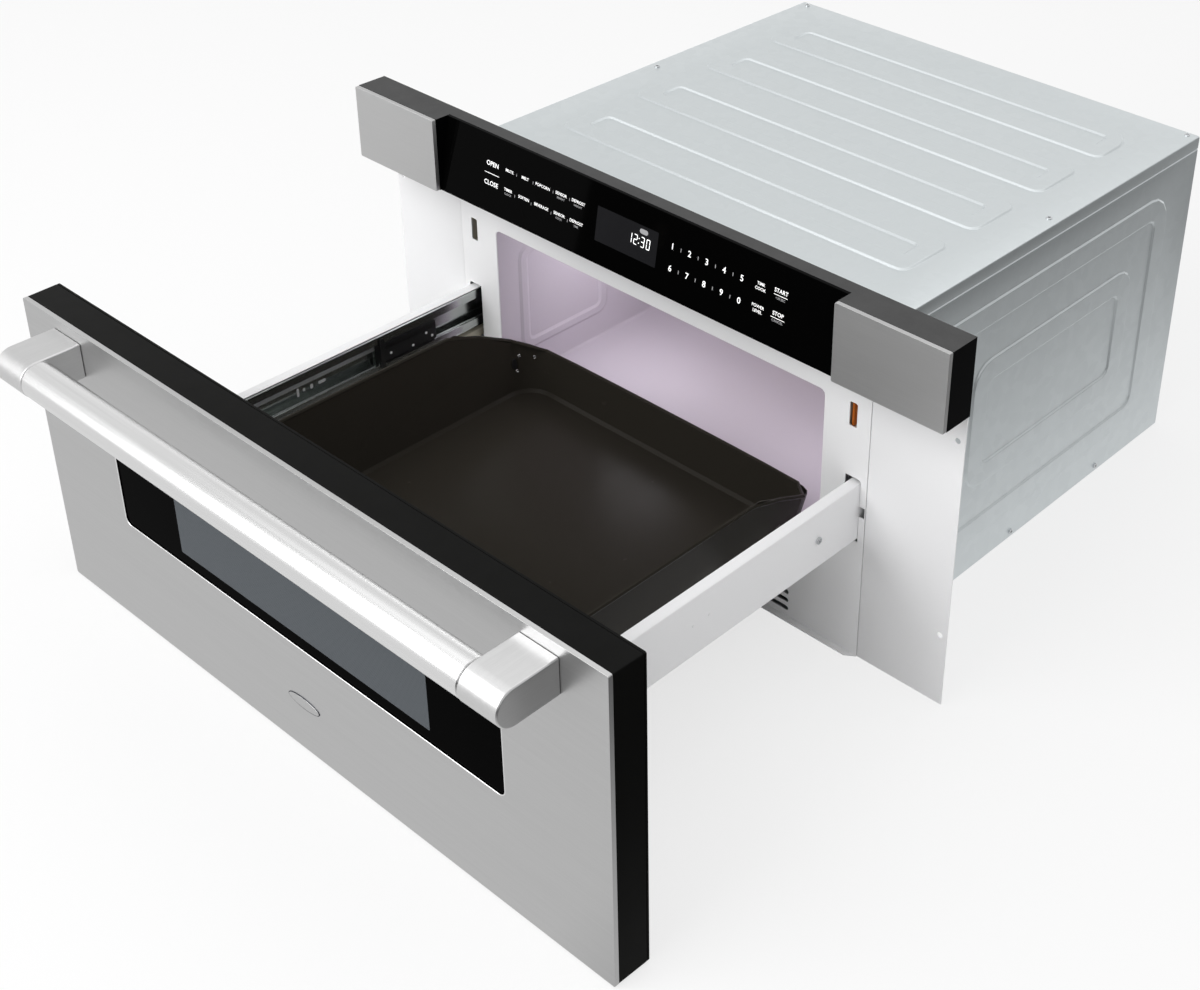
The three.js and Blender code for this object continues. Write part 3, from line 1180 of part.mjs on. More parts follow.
function controlHousing() {
  const wide = PANEL_WIDTH / 2;
  const shoulder = panelFront + TRIM_FOLD + SEAM;
  const block = alongX(rectangle(shoulder, panelBack, panelBottom, panelTop), -wide, wide);
  const inset = TRIM_SHEET + SEAM;
  const land = (x0, x1) => alongY(
    rectangle(x0 + inset, x1 - inset, panelBottom + inset, panelTop - inset),
    panelFront + inset, shoulder + CUT);
  const seat = GLASS_SHEET + SEAM;
  const bed = alongX(polygon([
    [panelFront - CUT, panelBottom - CUT], [leaningY(panelBottom - CUT, seat), panelBottom - CUT],
    [leaningY(panelTop + CUT, seat), panelTop + CUT], [panelFront - CUT, panelTop + CUT],
  ]), -glassHalf, glassHalf);
  const pocket = alongY(roundedShape(-POCKET_WIDTH / 2, POCKET_WIDTH / 2,
    panelBottom + POCKET_MARGIN, panelTop - POCKET_MARGIN, POCKET_CORNER),
  panelBack - POCKET_DEPTH, panelBack + CUT);
  const apertureX = DISPLAY_WIDTH / 2 + DISPLAY_AIR;
  const apertureZ = DISPLAY_HEIGHT / 2 + DISPLAY_AIR;
  const aperture = alongY(rectangle(DISPLAY_X - apertureX, DISPLAY_X + apertureX,
    DISPLAY_Z - apertureZ, DISPLAY_Z + apertureZ), panelFront, panelBack);
  const bosses = [-1, 1].map((side) => alongY(
    circle(side * (half + BOSS_REACH), BOSS_Z, BOSS_RADIUS, 20), panelBack - BITE, -SEAM));
  const shell = cut(union(block, land(-wide, -glassHalf), land(glassHalf, wide)), bed, pocket, aperture);
  return union(shell, ...bosses);
}

function trimEnd() {
  const wide = PANEL_WIDTH / 2;
  const tray = alongY(roundedShape(glassHalf, wide, panelBottom, panelTop, TRIM_CORNER, 2),
    panelFront, panelFront + TRIM_FOLD);
  const hollow = alongY(rectangle(glassHalf + TRIM_SHEET, wide - TRIM_SHEET,
    panelBottom + TRIM_SHEET, panelTop - TRIM_SHEET), panelFront + TRIM_SHEET, panelFront + TRIM_FOLD + CUT);
  return cut(tray, hollow);
}

function controlBoard() {
  const back = panelBack - POCKET_DEPTH + SEAM;
  const x = POCKET_WIDTH / 2 - CONTROL_BOARD_AIR;
  const bottom = panelBottom + POCKET_MARGIN + CONTROL_BOARD_EDGE_AIR;
  const top = panelTop - POCKET_MARGIN - CONTROL_BOARD_EDGE_AIR;
  const sheet = alongY(rectangle(-x, x, bottom, top), back, back + BOARD_SHEET);
  const chips = CONTROL_PARTS.map(([x0, x1, z0, z1]) => alongY(
    rectangle(x0 * x, x1 * x, bottom + z0 * (top - bottom), bottom + z1 * (top - bottom)),
    back + BOARD_SHEET / 2, back + BOARD_SHEET + CONTROL_PART_HEIGHT));
  return union(sheet, ...chips);
}

function displayModule() {
  const bottom = DISPLAY_Z - DISPLAY_HEIGHT / 2;
  const top = DISPLAY_Z + DISPLAY_HEIGHT / 2;
  const depth = GLASS_SHEET + DISPLAY_GLASS_AIR;
  const back = panelBack - POCKET_DEPTH;
  return alongX(polygon([
    [leaningY(bottom, depth), bottom], [back, bottom], [back, top], [leaningY(top, depth), top],
  ]), DISPLAY_X - DISPLAY_WIDTH / 2, DISPLAY_X + DISPLAY_WIDTH / 2);
}

/* ------------------------------------------------------------------ door */

const doorHalf = DOOR_WIDTH / 2;
const doorTop = DOOR_BOTTOM + DOOR_HEIGHT;
const windowHalf = WINDOW_WIDTH / 2;
const windowTop = WINDOW_BOTTOM + WINDOW_HEIGHT;
const foldBack = doorFront + SKIN_FOLD;
const glassBack = doorFront + SKIN_SHEET + SEAM + WINDOW_GLASS;

function doorSkin() {
  const tray = alongY(roundedShape(-doorHalf, doorHalf, DOOR_BOTTOM, doorTop, SKIN_CORNER, 3),
    doorFront, foldBack);
  const hollow = alongY(rectangle(-doorHalf + SKIN_SHEET, doorHalf - SKIN_SHEET,
    DOOR_BOTTOM + SKIN_SHEET, doorTop - SKIN_SHEET), doorFront + SKIN_SHEET, foldBack + CUT);
  const opening = alongY(roundedShape(-windowHalf, windowHalf, WINDOW_BOTTOM, windowTop, WINDOW_CORNER),
    doorFront - CUT, foldBack);
  return cut(tray, hollow, opening);
}

function doorGlass() {
  const x = windowHalf + WINDOW_OVERLAP;
  return alongY(roundedShape(-x, x, WINDOW_BOTTOM - WINDOW_OVERLAP, windowTop + WINDOW_OVERLAP,
    WINDOW_CORNER / 2, SMALL_STEPS),
    doorFront + SKIN_SHEET + SEAM, glassBack);
}

function doorScreen() {
  const x = SIGHT_WIDTH / 2 + SCREEN_OVERLAP;
  const sightTop = SIGHT_BOTTOM + SIGHT_HEIGHT;
  const front = glassBack + SEAM;
  return alongY(rectangle(-x, x, SIGHT_BOTTOM - SCREEN_OVERLAP, sightTop + SCREEN_OVERLAP),
    front, front + SCREEN_SHEET);
}

function doorFrame() {
  const flareHalf = doorHalf + DOOR_FLARE;
  const back = doorBack - REAR_COVER - SEAM;
  const front = foldBack + SEAM;
  const turnedLoft = (levels) => solid(loft(levels).rotateX(Math.PI / 2));
  const level = (x, bottom, top, y) => ({ loop: roundedLoop(-x, x, bottom, top, SKIN_CORNER, 2), z: -y });
  const outer = turnedLoft([
    level(flareHalf, DOOR_BOTTOM, doorTop, back),
    level(doorHalf, DOOR_BOTTOM, doorTop, front),
  ]);
  const inset = SKIN_SHEET + SEAM;
  const land = alongY(rectangle(-doorHalf + inset, doorHalf - inset, DOOR_BOTTOM + inset, doorTop - inset),
    doorFront + inset, front + CUT);
  const ledge = glassBack + SEAM + SCREEN_SHEET + SEAM;
  const hollow = alongY(rectangle(-doorHalf + DOOR_WALL, doorHalf - DOOR_WALL,
    DOOR_BOTTOM + DOOR_WALL, doorTop - DOOR_WALL), ledge + DOOR_WALL, back + CUT);
  const glassX = windowHalf + WINDOW_OVERLAP + SEAM;
  const glassRecess = alongY(rectangle(-glassX, glassX,
    WINDOW_BOTTOM - WINDOW_OVERLAP - SEAM, windowTop + WINDOW_OVERLAP + SEAM),
  doorFront, glassBack + SEAM / 2);
  const screenX = SIGHT_WIDTH / 2 + SCREEN_OVERLAP + SEAM;
  const sightTop = SIGHT_BOTTOM + SIGHT_HEIGHT;
  const screenRecess = alongY(rectangle(-screenX, screenX,
    SIGHT_BOTTOM - SCREEN_OVERLAP - SEAM, sightTop + SCREEN_OVERLAP + SEAM), doorFront, ledge);
  const sight = alongY(rectangle(-SIGHT_WIDTH / 2, SIGHT_WIDTH / 2, SIGHT_BOTTOM, sightTop),
    doorFront, back + CUT);
  const tunnel = alongY(withHoles(
    rectangle(-SIGHT_WIDTH / 2 - DOOR_WALL, SIGHT_WIDTH / 2 + DOOR_WALL,
      SIGHT_BOTTOM - DOOR_WALL, sightTop + DOOR_WALL),
    [rectangle(-SIGHT_WIDTH / 2, SIGHT_WIDTH / 2, SIGHT_BOTTOM, sightTop)]), ledge + DOOR_WALL / 2, back);
  const shell = cut(union(outer, land), hollow, glassRecess, screenRecess, sight);
  return union(shell, tunnel);
}

const innerHalf = mouthHalf + INNER_PANEL_OVERLAP;
const innerBottom = MOUTH_BOTTOM - INNER_PANEL_OVERLAP;
const innerTop = mouthTop + INNER_PANEL_OVERLAP;

function doorRearCover() {
  const flareHalf = doorHalf + DOOR_FLARE;
  const opening = roundedShape(-innerHalf - SEAM, innerHalf + SEAM,
    innerBottom - SEAM, innerTop + SEAM, INNER_PANEL_CORNER, SMALL_STEPS);
  return alongY(withHoles(
    roundedShape(-flareHalf, flareHalf, DOOR_BOTTOM, doorTop, SKIN_CORNER, 2), [opening]),
  doorBack - REAR_COVER, doorBack);
}

function doorInnerPanel() {
  const face = innerPanelBack - CHOKE_PRESS;
  const sightTop = SIGHT_BOTTOM + SIGHT_HEIGHT;
  const front = doorBack - REAR_COVER;
  const sheet = alongY(withHoles(
    roundedShape(-innerHalf, innerHalf, innerBottom, innerTop, INNER_PANEL_CORNER, SMALL_STEPS),
    [roundedShape(-SIGHT_WIDTH / 2, SIGHT_WIDTH / 2, SIGHT_BOTTOM, sightTop, CHOKE_PRESS, 2)]),
  face - INNER_PANEL_SHEET, face);
  const skirt = alongY(withHoles(
    roundedShape(-innerHalf, innerHalf, innerBottom, innerTop, INNER_PANEL_CORNER, SMALL_STEPS),
    [roundedShape(-innerHalf + INNER_PANEL_SHEET, innerHalf - INNER_PANEL_SHEET,
      innerBottom + INNER_PANEL_SHEET, innerTop - INNER_PANEL_SHEET,
      INNER_PANEL_CORNER - INNER_PANEL_SHEET, SMALL_STEPS)]),
  front, face - INNER_PANEL_SHEET / 2);
  const towardsOven = new THREE.Matrix4().makeBasis(
    new THREE.Vector3(-1, 0, 0), new THREE.Vector3(0, 0, 1), new THREE.Vector3(0, 1, 0))
    .setPosition(0, face, 0);
  const choke = frameBead(-innerHalf + CHOKE_INSET, innerHalf - CHOKE_INSET,
    innerBottom + CHOKE_INSET, innerTop - CHOKE_INSET, CHOKE_BAND, CHOKE_CORNER, CHOKE_CORNER / 2);
  return press(union(sheet, skirt), [choke], INNER_PANEL_SHEET, CHOKE_PRESS, towardsOven);
}

/* ---------------------------------------------------------------- handle */

const barY = doorFront - HANDLE_STANDOFF;

function handleBar() {
  const end = BAR_LENGTH / 2;
  const profile = [
    [BAR_RADIUS - BAR_WALL, -end], [BAR_RADIUS - BAR_BEVEL, -end], [BAR_RADIUS, -end + BAR_BEVEL],
    [BAR_RADIUS, end - BAR_BEVEL], [BAR_RADIUS - BAR_BEVEL, end], [BAR_RADIUS - BAR_WALL, end],
    [BAR_RADIUS - BAR_WALL, -end],
  ];
  return solid(turned(profile, 'x', HANDLE_STEPS).translate(0, barY, HANDLE_Z));
}

function handleBracket() {
  const inner = BAR_LENGTH / 2 + SEAM;
  const seat = doorFront - SEAM;
  const outline = (inset) => {
    const points = [[seat, HANDLE_Z - BRACKET_RADIUS + inset], [seat, HANDLE_Z + BRACKET_RADIUS - inset]];
    for (let i = 0; i <= HANDLE_STEPS / 2; i += 1) {
      const angle = Math.PI / 2 + (2 * Math.PI * i) / HANDLE_STEPS;
      const radius = BRACKET_RADIUS - inset;
      points.push([barY + radius * Math.cos(angle), HANDLE_Z + radius * Math.sin(angle)]);
    }
    return points.map(([y, z]) => new THREE.Vector2(y, z));
  };
  const block = loft([
    { loop: outline(BRACKET_CHAMFER), z: 0 },
    { loop: outline(0), z: BRACKET_CHAMFER },
    { loop: outline(0), z: BRACKET_WIDTH - BRACKET_CHAMFER },
    { loop: outline(BRACKET_CHAMFER), z: BRACKET_WIDTH },
  ]);
  return solid(block.applyMatrix4(ONTO_YZ).translate(inner, 0, 0));
}

/* ------------------------------------------------------------------- pan */

const panBottom = MOUTH_BOTTOM + PAN_LIFT;
const draftPerRise = PAN_DRAFT / (PAN_RIM_Z - PAN_REAR_Z);
const slopeFront = PAN_REACH - PAN_SLOPE_LENGTH;

// Plan outline of the pan at a height, moved inwards by a wall.
function panLevel(z, wall) {
  const side = panHalf - (PAN_RIM_Z - z) * draftPerRise - wall;
  const rear = PAN_REACH + (z - PAN_REAR_Z) * draftPerRise - wall;
  const front = panFront + (wall > 0 ? PAN_SHEET : 0);
  const corner = PAN_CORNER - wall;
  const corners = [PAN_FRONT_CORNER, PAN_FRONT_CORNER, corner, corner];
  return { loop: roundedLoop(-side, side, front, rear, corners), z };
}

function drawerPan() {
  const outer = solid(loft([
    panLevel(panBottom, PAN_FOOT_BEVEL), panLevel(panBottom + PAN_FOOT_BEVEL, 0), panLevel(PAN_RIM_Z, 0),
  ]));
  const inner = solid(loft([
    panLevel(panBottom + PAN_SHEET, PAN_FOOT_BEVEL + PAN_SHEET),
    panLevel(panBottom + PAN_FOOT_BEVEL + PAN_SHEET, PAN_SHEET),
    panLevel(PAN_RIM_Z + CUT, PAN_SHEET),
  ]));
  const far = PAN_REACH + PAN_CORNER + 10 * CUT;
  const wide = panHalf + 10 * CUT;
  const above = alongX(polygon([
    [slopeFront, PAN_RIM_Z], [PAN_REACH, PAN_REAR_Z], [far, PAN_REAR_Z],
    [far, PAN_RIM_Z + 10 * CUT], [slopeFront, PAN_RIM_Z + 10 * CUT],
  ]), -wide, wide);
  const lipTop = panBottom + PAN_FRONT_LIP;
  const frontOpening = alongY(rectangle(
    -SIGHT_WIDTH / 2 - DOOR_WALL, SIGHT_WIDTH / 2 + DOOR_WALL, lipTop, PAN_RIM_Z + CUT),
  panFront - CUT, panFront + 2 * PAN_SHEET);
  const shell = cut(outer, inner, above, frontOpening);
  return union(shell, panRim());
}

// The rolled edge along the side walls, down the slopes and across the rear wall.
function panRim() {
  const rearSide = panHalf - PAN_DRAFT;
  const startY = panFront + PAN_RIM_RADIUS + SEAM;
  const top = PAN_RIM_Z - PAN_RIM_RADIUS / 2;
  const low = PAN_REAR_Z - PAN_RIM_RADIUS / 2;
  const bendY = PAN_REACH - PAN_CORNER;
  const bendZ = low + ((PAN_RIM_Z - PAN_REAR_Z) * PAN_CORNER) / PAN_SLOPE_LENGTH;
  const sideAt = panHalf - (PAN_RIM_Z - bendZ) * draftPerRise;
  const right = [
    [panHalf, startY, top], [panHalf, slopeFront - PAN_RIM_EASE, top],
    [panHalf, slopeFront, top - PAN_RIM_EASE / 10],
    [sideAt, bendY, bendZ],
    [rearSide - PAN_CORNER * 0.12, PAN_REACH - PAN_CORNER * 0.45, low + PAN_CORNER / 6],
    [rearSide - PAN_CORNER * 0.5, PAN_REACH - PAN_CORNER * 0.1, low + PAN_CORNER / 30],
    [rearSide - PAN_CORNER, PAN_REACH, low],
  ];
  const path = [...right, ...right.map(([x, y, z]) => [-x, y, z]).reverse()];
  const points = path.map((point) => new THREE.Vector3(...point));
  const extrudePath = new THREE.CatmullRomCurve3(points, false, 'centripetal');
  const options = { steps: PAN_RIM_STEPS, extrudePath, bevelEnabled: false };
  return solid(new THREE.ExtrudeGeometry(circle(0, 0, PAN_RIM_RADIUS, 6), options));
}

/* ------------------------------------------------------ rails and runners */

const runnerTop = railTop - RAIL_SHEET - SEAM;
const runnerBottom = runnerTop - RUNNER_HEIGHT;
const runnerOuter = railOuter - RAIL_SHEET - SEAM;
const runnerInner = runnerOuter - RUNNER_DEPTH;

function railCover() {
  const section = bentSection([
    [railOuter, RAIL_BOTTOM], [railOuter, railTop], [railOuter - RAIL_TOP_WIDTH, railTop],
  ], RAIL_SHEET);
  const front = doorBack + SEAM;
  const rail = alongY(section, front, RAIL_REACH);
  const foot = alongY(rectangle(railOuter - RAIL_FOOT, railOuter - RAIL_SHEET / 2,
    RAIL_BOTTOM, runnerBottom - SEAM), front, front + RAIL_SHEET);
  return union(rail, foot);
}

// Section of a runner channel that opens towards the middle of the drawer.
function channelSection(outer, inner, bottom, top, lip) {
  return bentSection([
    [inner, bottom + lip], [inner, bottom], [outer, bottom],
    [outer, top], [inner, top], [inner, top - lip],
  ], RUNNER_SHEET, RUNNER_BEND);
}

const drawerMember = { outer: runnerOuter, inner: runnerInner, bottom: runnerBottom, top: runnerTop };
const step = RUNNER_SHEET + RUNNER_FIT;
const middleMember = {
  outer: drawerMember.outer - step,
  inner: drawerMember.inner + step,
  bottom: drawerMember.bottom + step,
  top: drawerMember.top - step,
};
const runnerCentre = (runnerTop + runnerBottom) / 2;
const runnerFront = doorBack + RAIL_SHEET + 2 * SEAM;

function drawerRunner() {
  const { outer, inner, bottom, top } = drawerMember;
  return alongY(channelSection(outer, inner, bottom, top, RUNNER_LIP),
    runnerFront, RAIL_REACH + RUNNER_OVERRUN);
}

function middleRunner() {
  const { outer, inner, bottom, top } = middleMember;
  return alongY(channelSection(outer, inner, bottom, top, RUNNER_LIP),
    MIDDLE_FRONT, MIDDLE_FRONT + MIDDLE_LENGTH);
}

// The plug that closes the front end of the middle member and stands through both mouths.
function runnerBuffer() {
  const { outer, inner, bottom, top } = middleMember;
  const wall = RUNNER_SHEET + SEAM;
  const mouth = (top - bottom) / 2 - RUNNER_LIP - SEAM;
  const proud = drawerMember.inner - BUFFER_PROUD;
  const section = polygon([
    [outer - wall, bottom + wall], [outer - wall, top - wall],
    [inner + wall, top - wall], [inner + wall, runnerCentre + mouth],
    [proud, runnerCentre + mouth], [proud, runnerCentre - mouth],
    [inner + wall, runnerCentre - mouth], [inner + wall, bottom + wall],
  ]);
  return alongY(section, MIDDLE_FRONT, MIDDLE_FRONT + BUFFER_LENGTH);
}

const fixedFront = MIDDLE_FRONT + MIDDLE_RATIO * TRAVEL + BUFFER_LENGTH + BUFFER_STOP_AIR;
const fixedRear = linerRear + LINER_SHEET + CASE_FLANGE + FIXED_REAR_AIR;
const stemX = runnerInner - RUNNER_SHEET - 2 * RUNNER_FIT;

// The fixed member: a stem that enters both mouths and two arms that hold the middle member.
function fixedRunner() {
  const { outer, bottom, top } = middleMember;
  const armX = outer - RUNNER_SHEET - RUNNER_FIT;
  const armReach = RUNNER_STEM / 2;
  const tip = RUNNER_SHEET + RUNNER_FIT;
  const outline = polygon([
    [stemX - RUNNER_SHEET, runnerCentre - armReach], [armX - RUNNER_SHEET, runnerCentre - armReach],
    [armX - RUNNER_SHEET, bottom + tip], [armX, bottom + tip],
    [armX, top - tip], [armX - RUNNER_SHEET, top - tip],
    [armX - RUNNER_SHEET, runnerCentre + armReach], [stemX - RUNNER_SHEET, runnerCentre + armReach],
  ]);
  const hollow = rectangle(stemX, armX - RUNNER_SHEET,
    runnerCentre - armReach + RUNNER_SHEET, runnerCentre + armReach - RUNNER_SHEET);
  return alongY(withHoles(outline, [hollow]), fixedFront, fixedRear);
}

// The brace that carries the fixed member on the oven's side wall.
function runnerBrace() {
  const wall = mouthHalf + LINER_SHEET + SEAM;
  const web = stemX - RUNNER_SHEET - SEAM - BRACE_SHEET;
  const low = runnerCentre - BRACE_HEIGHT / 2;
  const high = runnerCentre + BRACE_HEIGHT / 2;
  const section = bentSection([
    [wall, low - BRACE_FOOT], [wall, low], [web, low],
    [web, high], [wall, high], [wall, high + BRACE_FOOT],
  ], -BRACE_SHEET);
  return alongY(section, fixedFront, linerRear);
}

/* ----------------------------------------------------------------- drive */

const pitch = Math.PI * MODULE;
const pitchRadius = (MODULE * PINION_TEETH) / 2;
const pressure = THREE.MathUtils.degToRad(PRESSURE_ANGLE);
const rackTop = RAIL_BOTTOM + RACK_HEIGHT - RACK_ADDENDUM + RACK_LIFT;
const pitchLine = rackTop - RACK_HEIGHT + RACK_ADDENDUM;
const pinionZ = pitchLine - pitchRadius;

// The rack hangs inside the left rail with its teeth downwards; a gap stands over the pinion.
function driveRack() {
  const front = doorBack + RAIL_SHEET + 2 * SEAM;
  const rear = RAIL_REACH - RACK_REAR_AIR;
  const flank = Math.tan(pressure);
  const root = pitchLine + RACK_DEDENDUM;
  const tip = pitchLine - RACK_ADDENDUM;
  const points = [[front, rackTop], [front, root]];
  const first = Math.ceil((front - PINION_Y) / pitch) + 1;
  const last = Math.floor((rear - PINION_Y) / pitch) - 1;
  const rootHalf = (pitch - BACKLASH) / 4 + flank * RACK_DEDENDUM;
  const tipHalf = (pitch - BACKLASH) / 4 - flank * RACK_ADDENDUM;
  for (let i = first; i <= last; i += 1) {
    const centre = PINION_Y + (i + 0.5) * pitch;
    points.push([centre - rootHalf, root], [centre - tipHalf, tip]);
    points.push([centre + tipHalf, tip], [centre + rootHalf, root]);
  }
  points.push([rear, root], [rear, rackTop]);
  const outer = railOuter - RAIL_SHEET - SEAM;
  const bar = polygon(points);
  return alongX(bar, -outer, -outer + RACK_WIDTH);
}

// Involute pinion with one tooth pointing straight up.
function pinionOutline() {
  const base = pitchRadius * Math.cos(pressure);
  const tip = pitchRadius + PINION_ADDENDUM;
  const root = pitchRadius - PINION_DEDENDUM;
  const involute = (angle) => Math.tan(angle) - angle;
  const halfAtPitch = Math.PI / (2 * PINION_TEETH) - BACKLASH / (4 * pitchRadius);
  const halfAt = (radius) => halfAtPitch + involute(pressure)
    - (radius > base ? involute(Math.acos(base / radius)) : 0);
  const radii = [root, pitchRadius, tip];
  const points = [];
  for (let tooth = 0; tooth < PINION_TEETH; tooth += 1) {
    const middle = Math.PI / 2 + (2 * Math.PI * tooth) / PINION_TEETH;
    const rising = radii.map((radius) => [radius, middle - halfAt(radius)]);
    const falling = [...radii].reverse().map((radius) => [radius, middle + halfAt(radius)]);
    points.push(...rising, ...falling);
  }
  return points.map(([radius, angle]) => [radius * Math.cos(angle), radius * Math.sin(angle)]);
}

function drivePinion() {
  const outer = -(railOuter - RAIL_SHEET - SEAM);
  const gear = alongX(polygon(pinionOutline()), outer, outer + RACK_WIDTH);
  const shaftEnd = outer + RACK_WIDTH + PINION_SHAFT_LENGTH;
  const shaft = solid(turned(rod(PINION_SHAFT, outer + BITE, shaftEnd), 'x', 16));
  return solid(geometryOf(union(gear, shaft)).translate(0, PINION_Y, pinionZ));
}

function driveGearbox() {
  const inner = -(mouthHalf + LINER_SHEET + 3 * SEAM);
  const outer = inner - GEARBOX_WIDTH;
  const front = behindFrame + LINER_SHEET + SEAM;
  const low = pinionZ - GEARBOX_HEIGHT / 2;
  const box = alongX(roundedShape(front, front + GEARBOX_LENGTH, low, low + GEARBOX_HEIGHT, GEARBOX_CORNER),
    outer, inner);
  const motorY = front + GEARBOX_LENGTH;
  const can = solid(turned([
    [0, motorY - BITE], [MOTOR_RADIUS, motorY - BITE],
    [MOTOR_RADIUS, motorY + MOTOR_LENGTH - MOTOR_BEVEL],
    [MOTOR_RADIUS - MOTOR_BEVEL, motorY + MOTOR_LENGTH], [MOTOR_HUB_RADIUS, motorY + MOTOR_LENGTH],
    [MOTOR_HUB_RADIUS, motorY + MOTOR_LENGTH + MOTOR_HUB_LENGTH],
    [0, motorY + MOTOR_LENGTH + MOTOR_HUB_LENGTH],
  ], 'y', 16).translate((inner + outer) / 2 - (MOTOR_RADIUS - GEARBOX_WIDTH / 2) - SEAM, 0, pinionZ));
  const bearing = alongX(circle(PINION_Y, pinionZ, PINION_SHAFT + BORE_FIT, 16),
    outer - GEARBOX_BOSS - CUT, outer + GEARBOX_WIDTH / 2);
  const boss = alongX(circle(PINION_Y, pinionZ, PINION_SHAFT + GEARBOX_BOSS_WALL, 16),
    outer - GEARBOX_BOSS, outer + BITE);
  return cut(union(box, can, boss), bearing);
}

/* --------------------------------------------------------------- latches */

function latchHook() {
  const x = latchX;
  const front = doorBack + SEAM;
  const rear = front + HOOK_LENGTH;
  const low = LATCH_Z - HOOK_HEIGHT / 2;
  const high = LATCH_Z + HOOK_HEIGHT / 2;
  const outline = polygon([
    [front, low + HOOK_NOSE], [rear - HOOK_NOTCH, low + HOOK_NOSE],
    [rear - HOOK_NOTCH * 0.9, low], [rear - HOOK_NOTCH / 2, low],
    [rear, low + HOOK_HEIGHT / 2], [rear - HOOK_NOSE, high], [front, high],
  ]);
  const arm = alongX(outline, x - HOOK_THICKNESS / 2, x + HOOK_THICKNESS / 2);
  const foot = alongY(roundedShape(x - HOOK_FOOT_IN, x + HOOK_FOOT_OUT,
    low - HOOK_FOOT_IN, high + HOOK_FOOT_IN, HOOK_FOOT_SHEET, 2), front, front + HOOK_FOOT_SHEET);
  return union(arm, foot);
}

const holderInner = latchX - HOLDER_WIDTH / 2 - HOLDER_OFFSET;
const leverOuter = latchX - HOOK_THICKNESS / 2 - LEVER_AIR;

function latchHolder() {
  const front = behindFrame;
  const rear = front + HOLDER_LENGTH;
  const low = LATCH_Z - HOLDER_HEIGHT / 2;
  const high = LATCH_Z + HOLDER_HEIGHT / 2;
  const body = alongY(roundedShape(
    holderInner, holderInner + HOLDER_WIDTH, low, high, HOLDER_CORNER, 1), front, rear);
  const channel = alongY(rectangle(holderInner + HOLDER_WALL, holderInner + HOLDER_WIDTH - HOLDER_WALL,
    low + HOLDER_WALL, high - HOLDER_WALL), front - CUT, rear - HOLDER_WALL);
  const switchBack = holderInner - SWITCH_WIDTH;
  const switchY = front + SWITCH_FRONT;
  const switches = [-1, 1].map((side) => {
    const middle = LATCH_Z + (side * (SWITCH_HEIGHT + SWITCH_GAP)) / 2;
    return alongY(rectangle(switchBack, holderInner + BITE,
      middle - SWITCH_HEIGHT / 2, middle + SWITCH_HEIGHT / 2), switchY, switchY + SWITCH_LENGTH);
  });
  const windowHalf = HOLDER_HEIGHT / 3;
  const window = alongX(rectangle(switchY + 2 * HOLDER_WALL, switchY + 5 * HOLDER_WALL,
    LATCH_Z - windowHalf, LATCH_Z + windowHalf), holderInner - HOLDER_WALL, holderInner + HOLDER_WALL + CUT);
  return cut(union(cut(body, channel), ...switches), window);
}

// The coloured lever beside the hook's path; the hook's flank pushes it towards the switches.
function latchLever() {
  const front = behindFrame + LEVER_SET_BACK;
  const rear = front + LEVER_LENGTH;
  const low = LATCH_Z - HOLDER_HEIGHT / 2 + HOLDER_WALL + LEVER_AIR;
  const high = LATCH_Z + HOLDER_HEIGHT / 2 - HOLDER_WALL - LEVER_AIR;
  const plan = polygon([
    [leverOuter - LEVER_THICKNESS, front + LEVER_THICKNESS], [leverOuter - LEVER_THICKNESS / 2, front],
    [leverOuter, front + LEVER_THICKNESS], [leverOuter, rear], [leverOuter - LEVER_THICKNESS, rear],
  ]);
  return alongZ(plan, low, high);
}

/* -------------------------------------------------------------- assembly */

const chassis = assembly(
  piece('cabinet_top', cabinetTop(), 'galvanised'),
  pair('cabinet_side', cabinetSide(), 'galvanised'),
  piece('cabinet_back', cabinetBack(), 'galvanised'),
  piece('cabinet_base', cabinetBase(), 'galvanised'),
  piece('cord_gland', cordGland(), 'black'),
  piece('front_frame', frontFrame(), 'white'),
  pair('flap', flap(), 'white'),
  piece('cavity_liner', cavityLiner(), 'oven'),
  piece('stirrer_cover', stirrerCover(), 'mica'),
  piece('waveguide', waveguide(), 'galvanised'),
  piece('stirrer_motor', stirrerMotor(), 'zinc'),
  piece('cavity_lamp', cavityLamp(), 'ivory'),
  piece('magnetron', magnetron(), 'zinc'),
  piece('transformer_core', transformerCore(), 'core'),
  piece('transformer_windings', transformerWindings(), 'copper'),
  piece('hv_capacitor', capacitor(), 'zinc'),
  piece('fan_shroud', fanShroud(), 'galvanised'),
  piece('fan_motor', fanMotor(), 'core'),
  piece('power_board', powerBoard(), 'board'),
  pair('latch_holder', latchHolder(), 'ivory'),
  pair('runner_fixed', fixedRunner(), 'zinc'),
  pair('runner_brace', runnerBrace(), 'galvanised'),
  piece('drive_gearbox', driveGearbox(), 'core'),
);

const controlPanel = assembly(
  piece('control_housing', controlHousing(), 'black'),
  piece('control_glass', controlGlass(), 'gloss'),
  pair('trim_end', trimEnd(), 'brushed'),
  piece('control_board', controlBoard(), 'board'),
  piece('display_module', displayModule(), 'black'),
);

const drawer = assembly(
  piece('door_skin', doorSkin(), 'brushed'),
  piece('door_frame', doorFrame(), 'black'),
  piece('door_rear_cover', doorRearCover(), 'black'),
  piece('door_glass', doorGlass(), 'gloss'),
  piece('door_screen', doorScreen(), 'screen'),
  piece('door_inner_panel', doorInnerPanel(), 'enamel'),
  piece('handle_bar', handleBar(), 'brushed'),
  pair('handle_bracket', handleBracket(), 'brushed'),
  piece('drawer_pan', drawerPan(), 'enamel'),
  pair('rail_cover', railCover(), 'white'),
  pair('runner_drawer', drawerRunner(), 'zinc'),
  piece('drive_rack', driveRack(), 'ivory'),
  pair('latch_hook', latchHook(), 'ivory'),
);

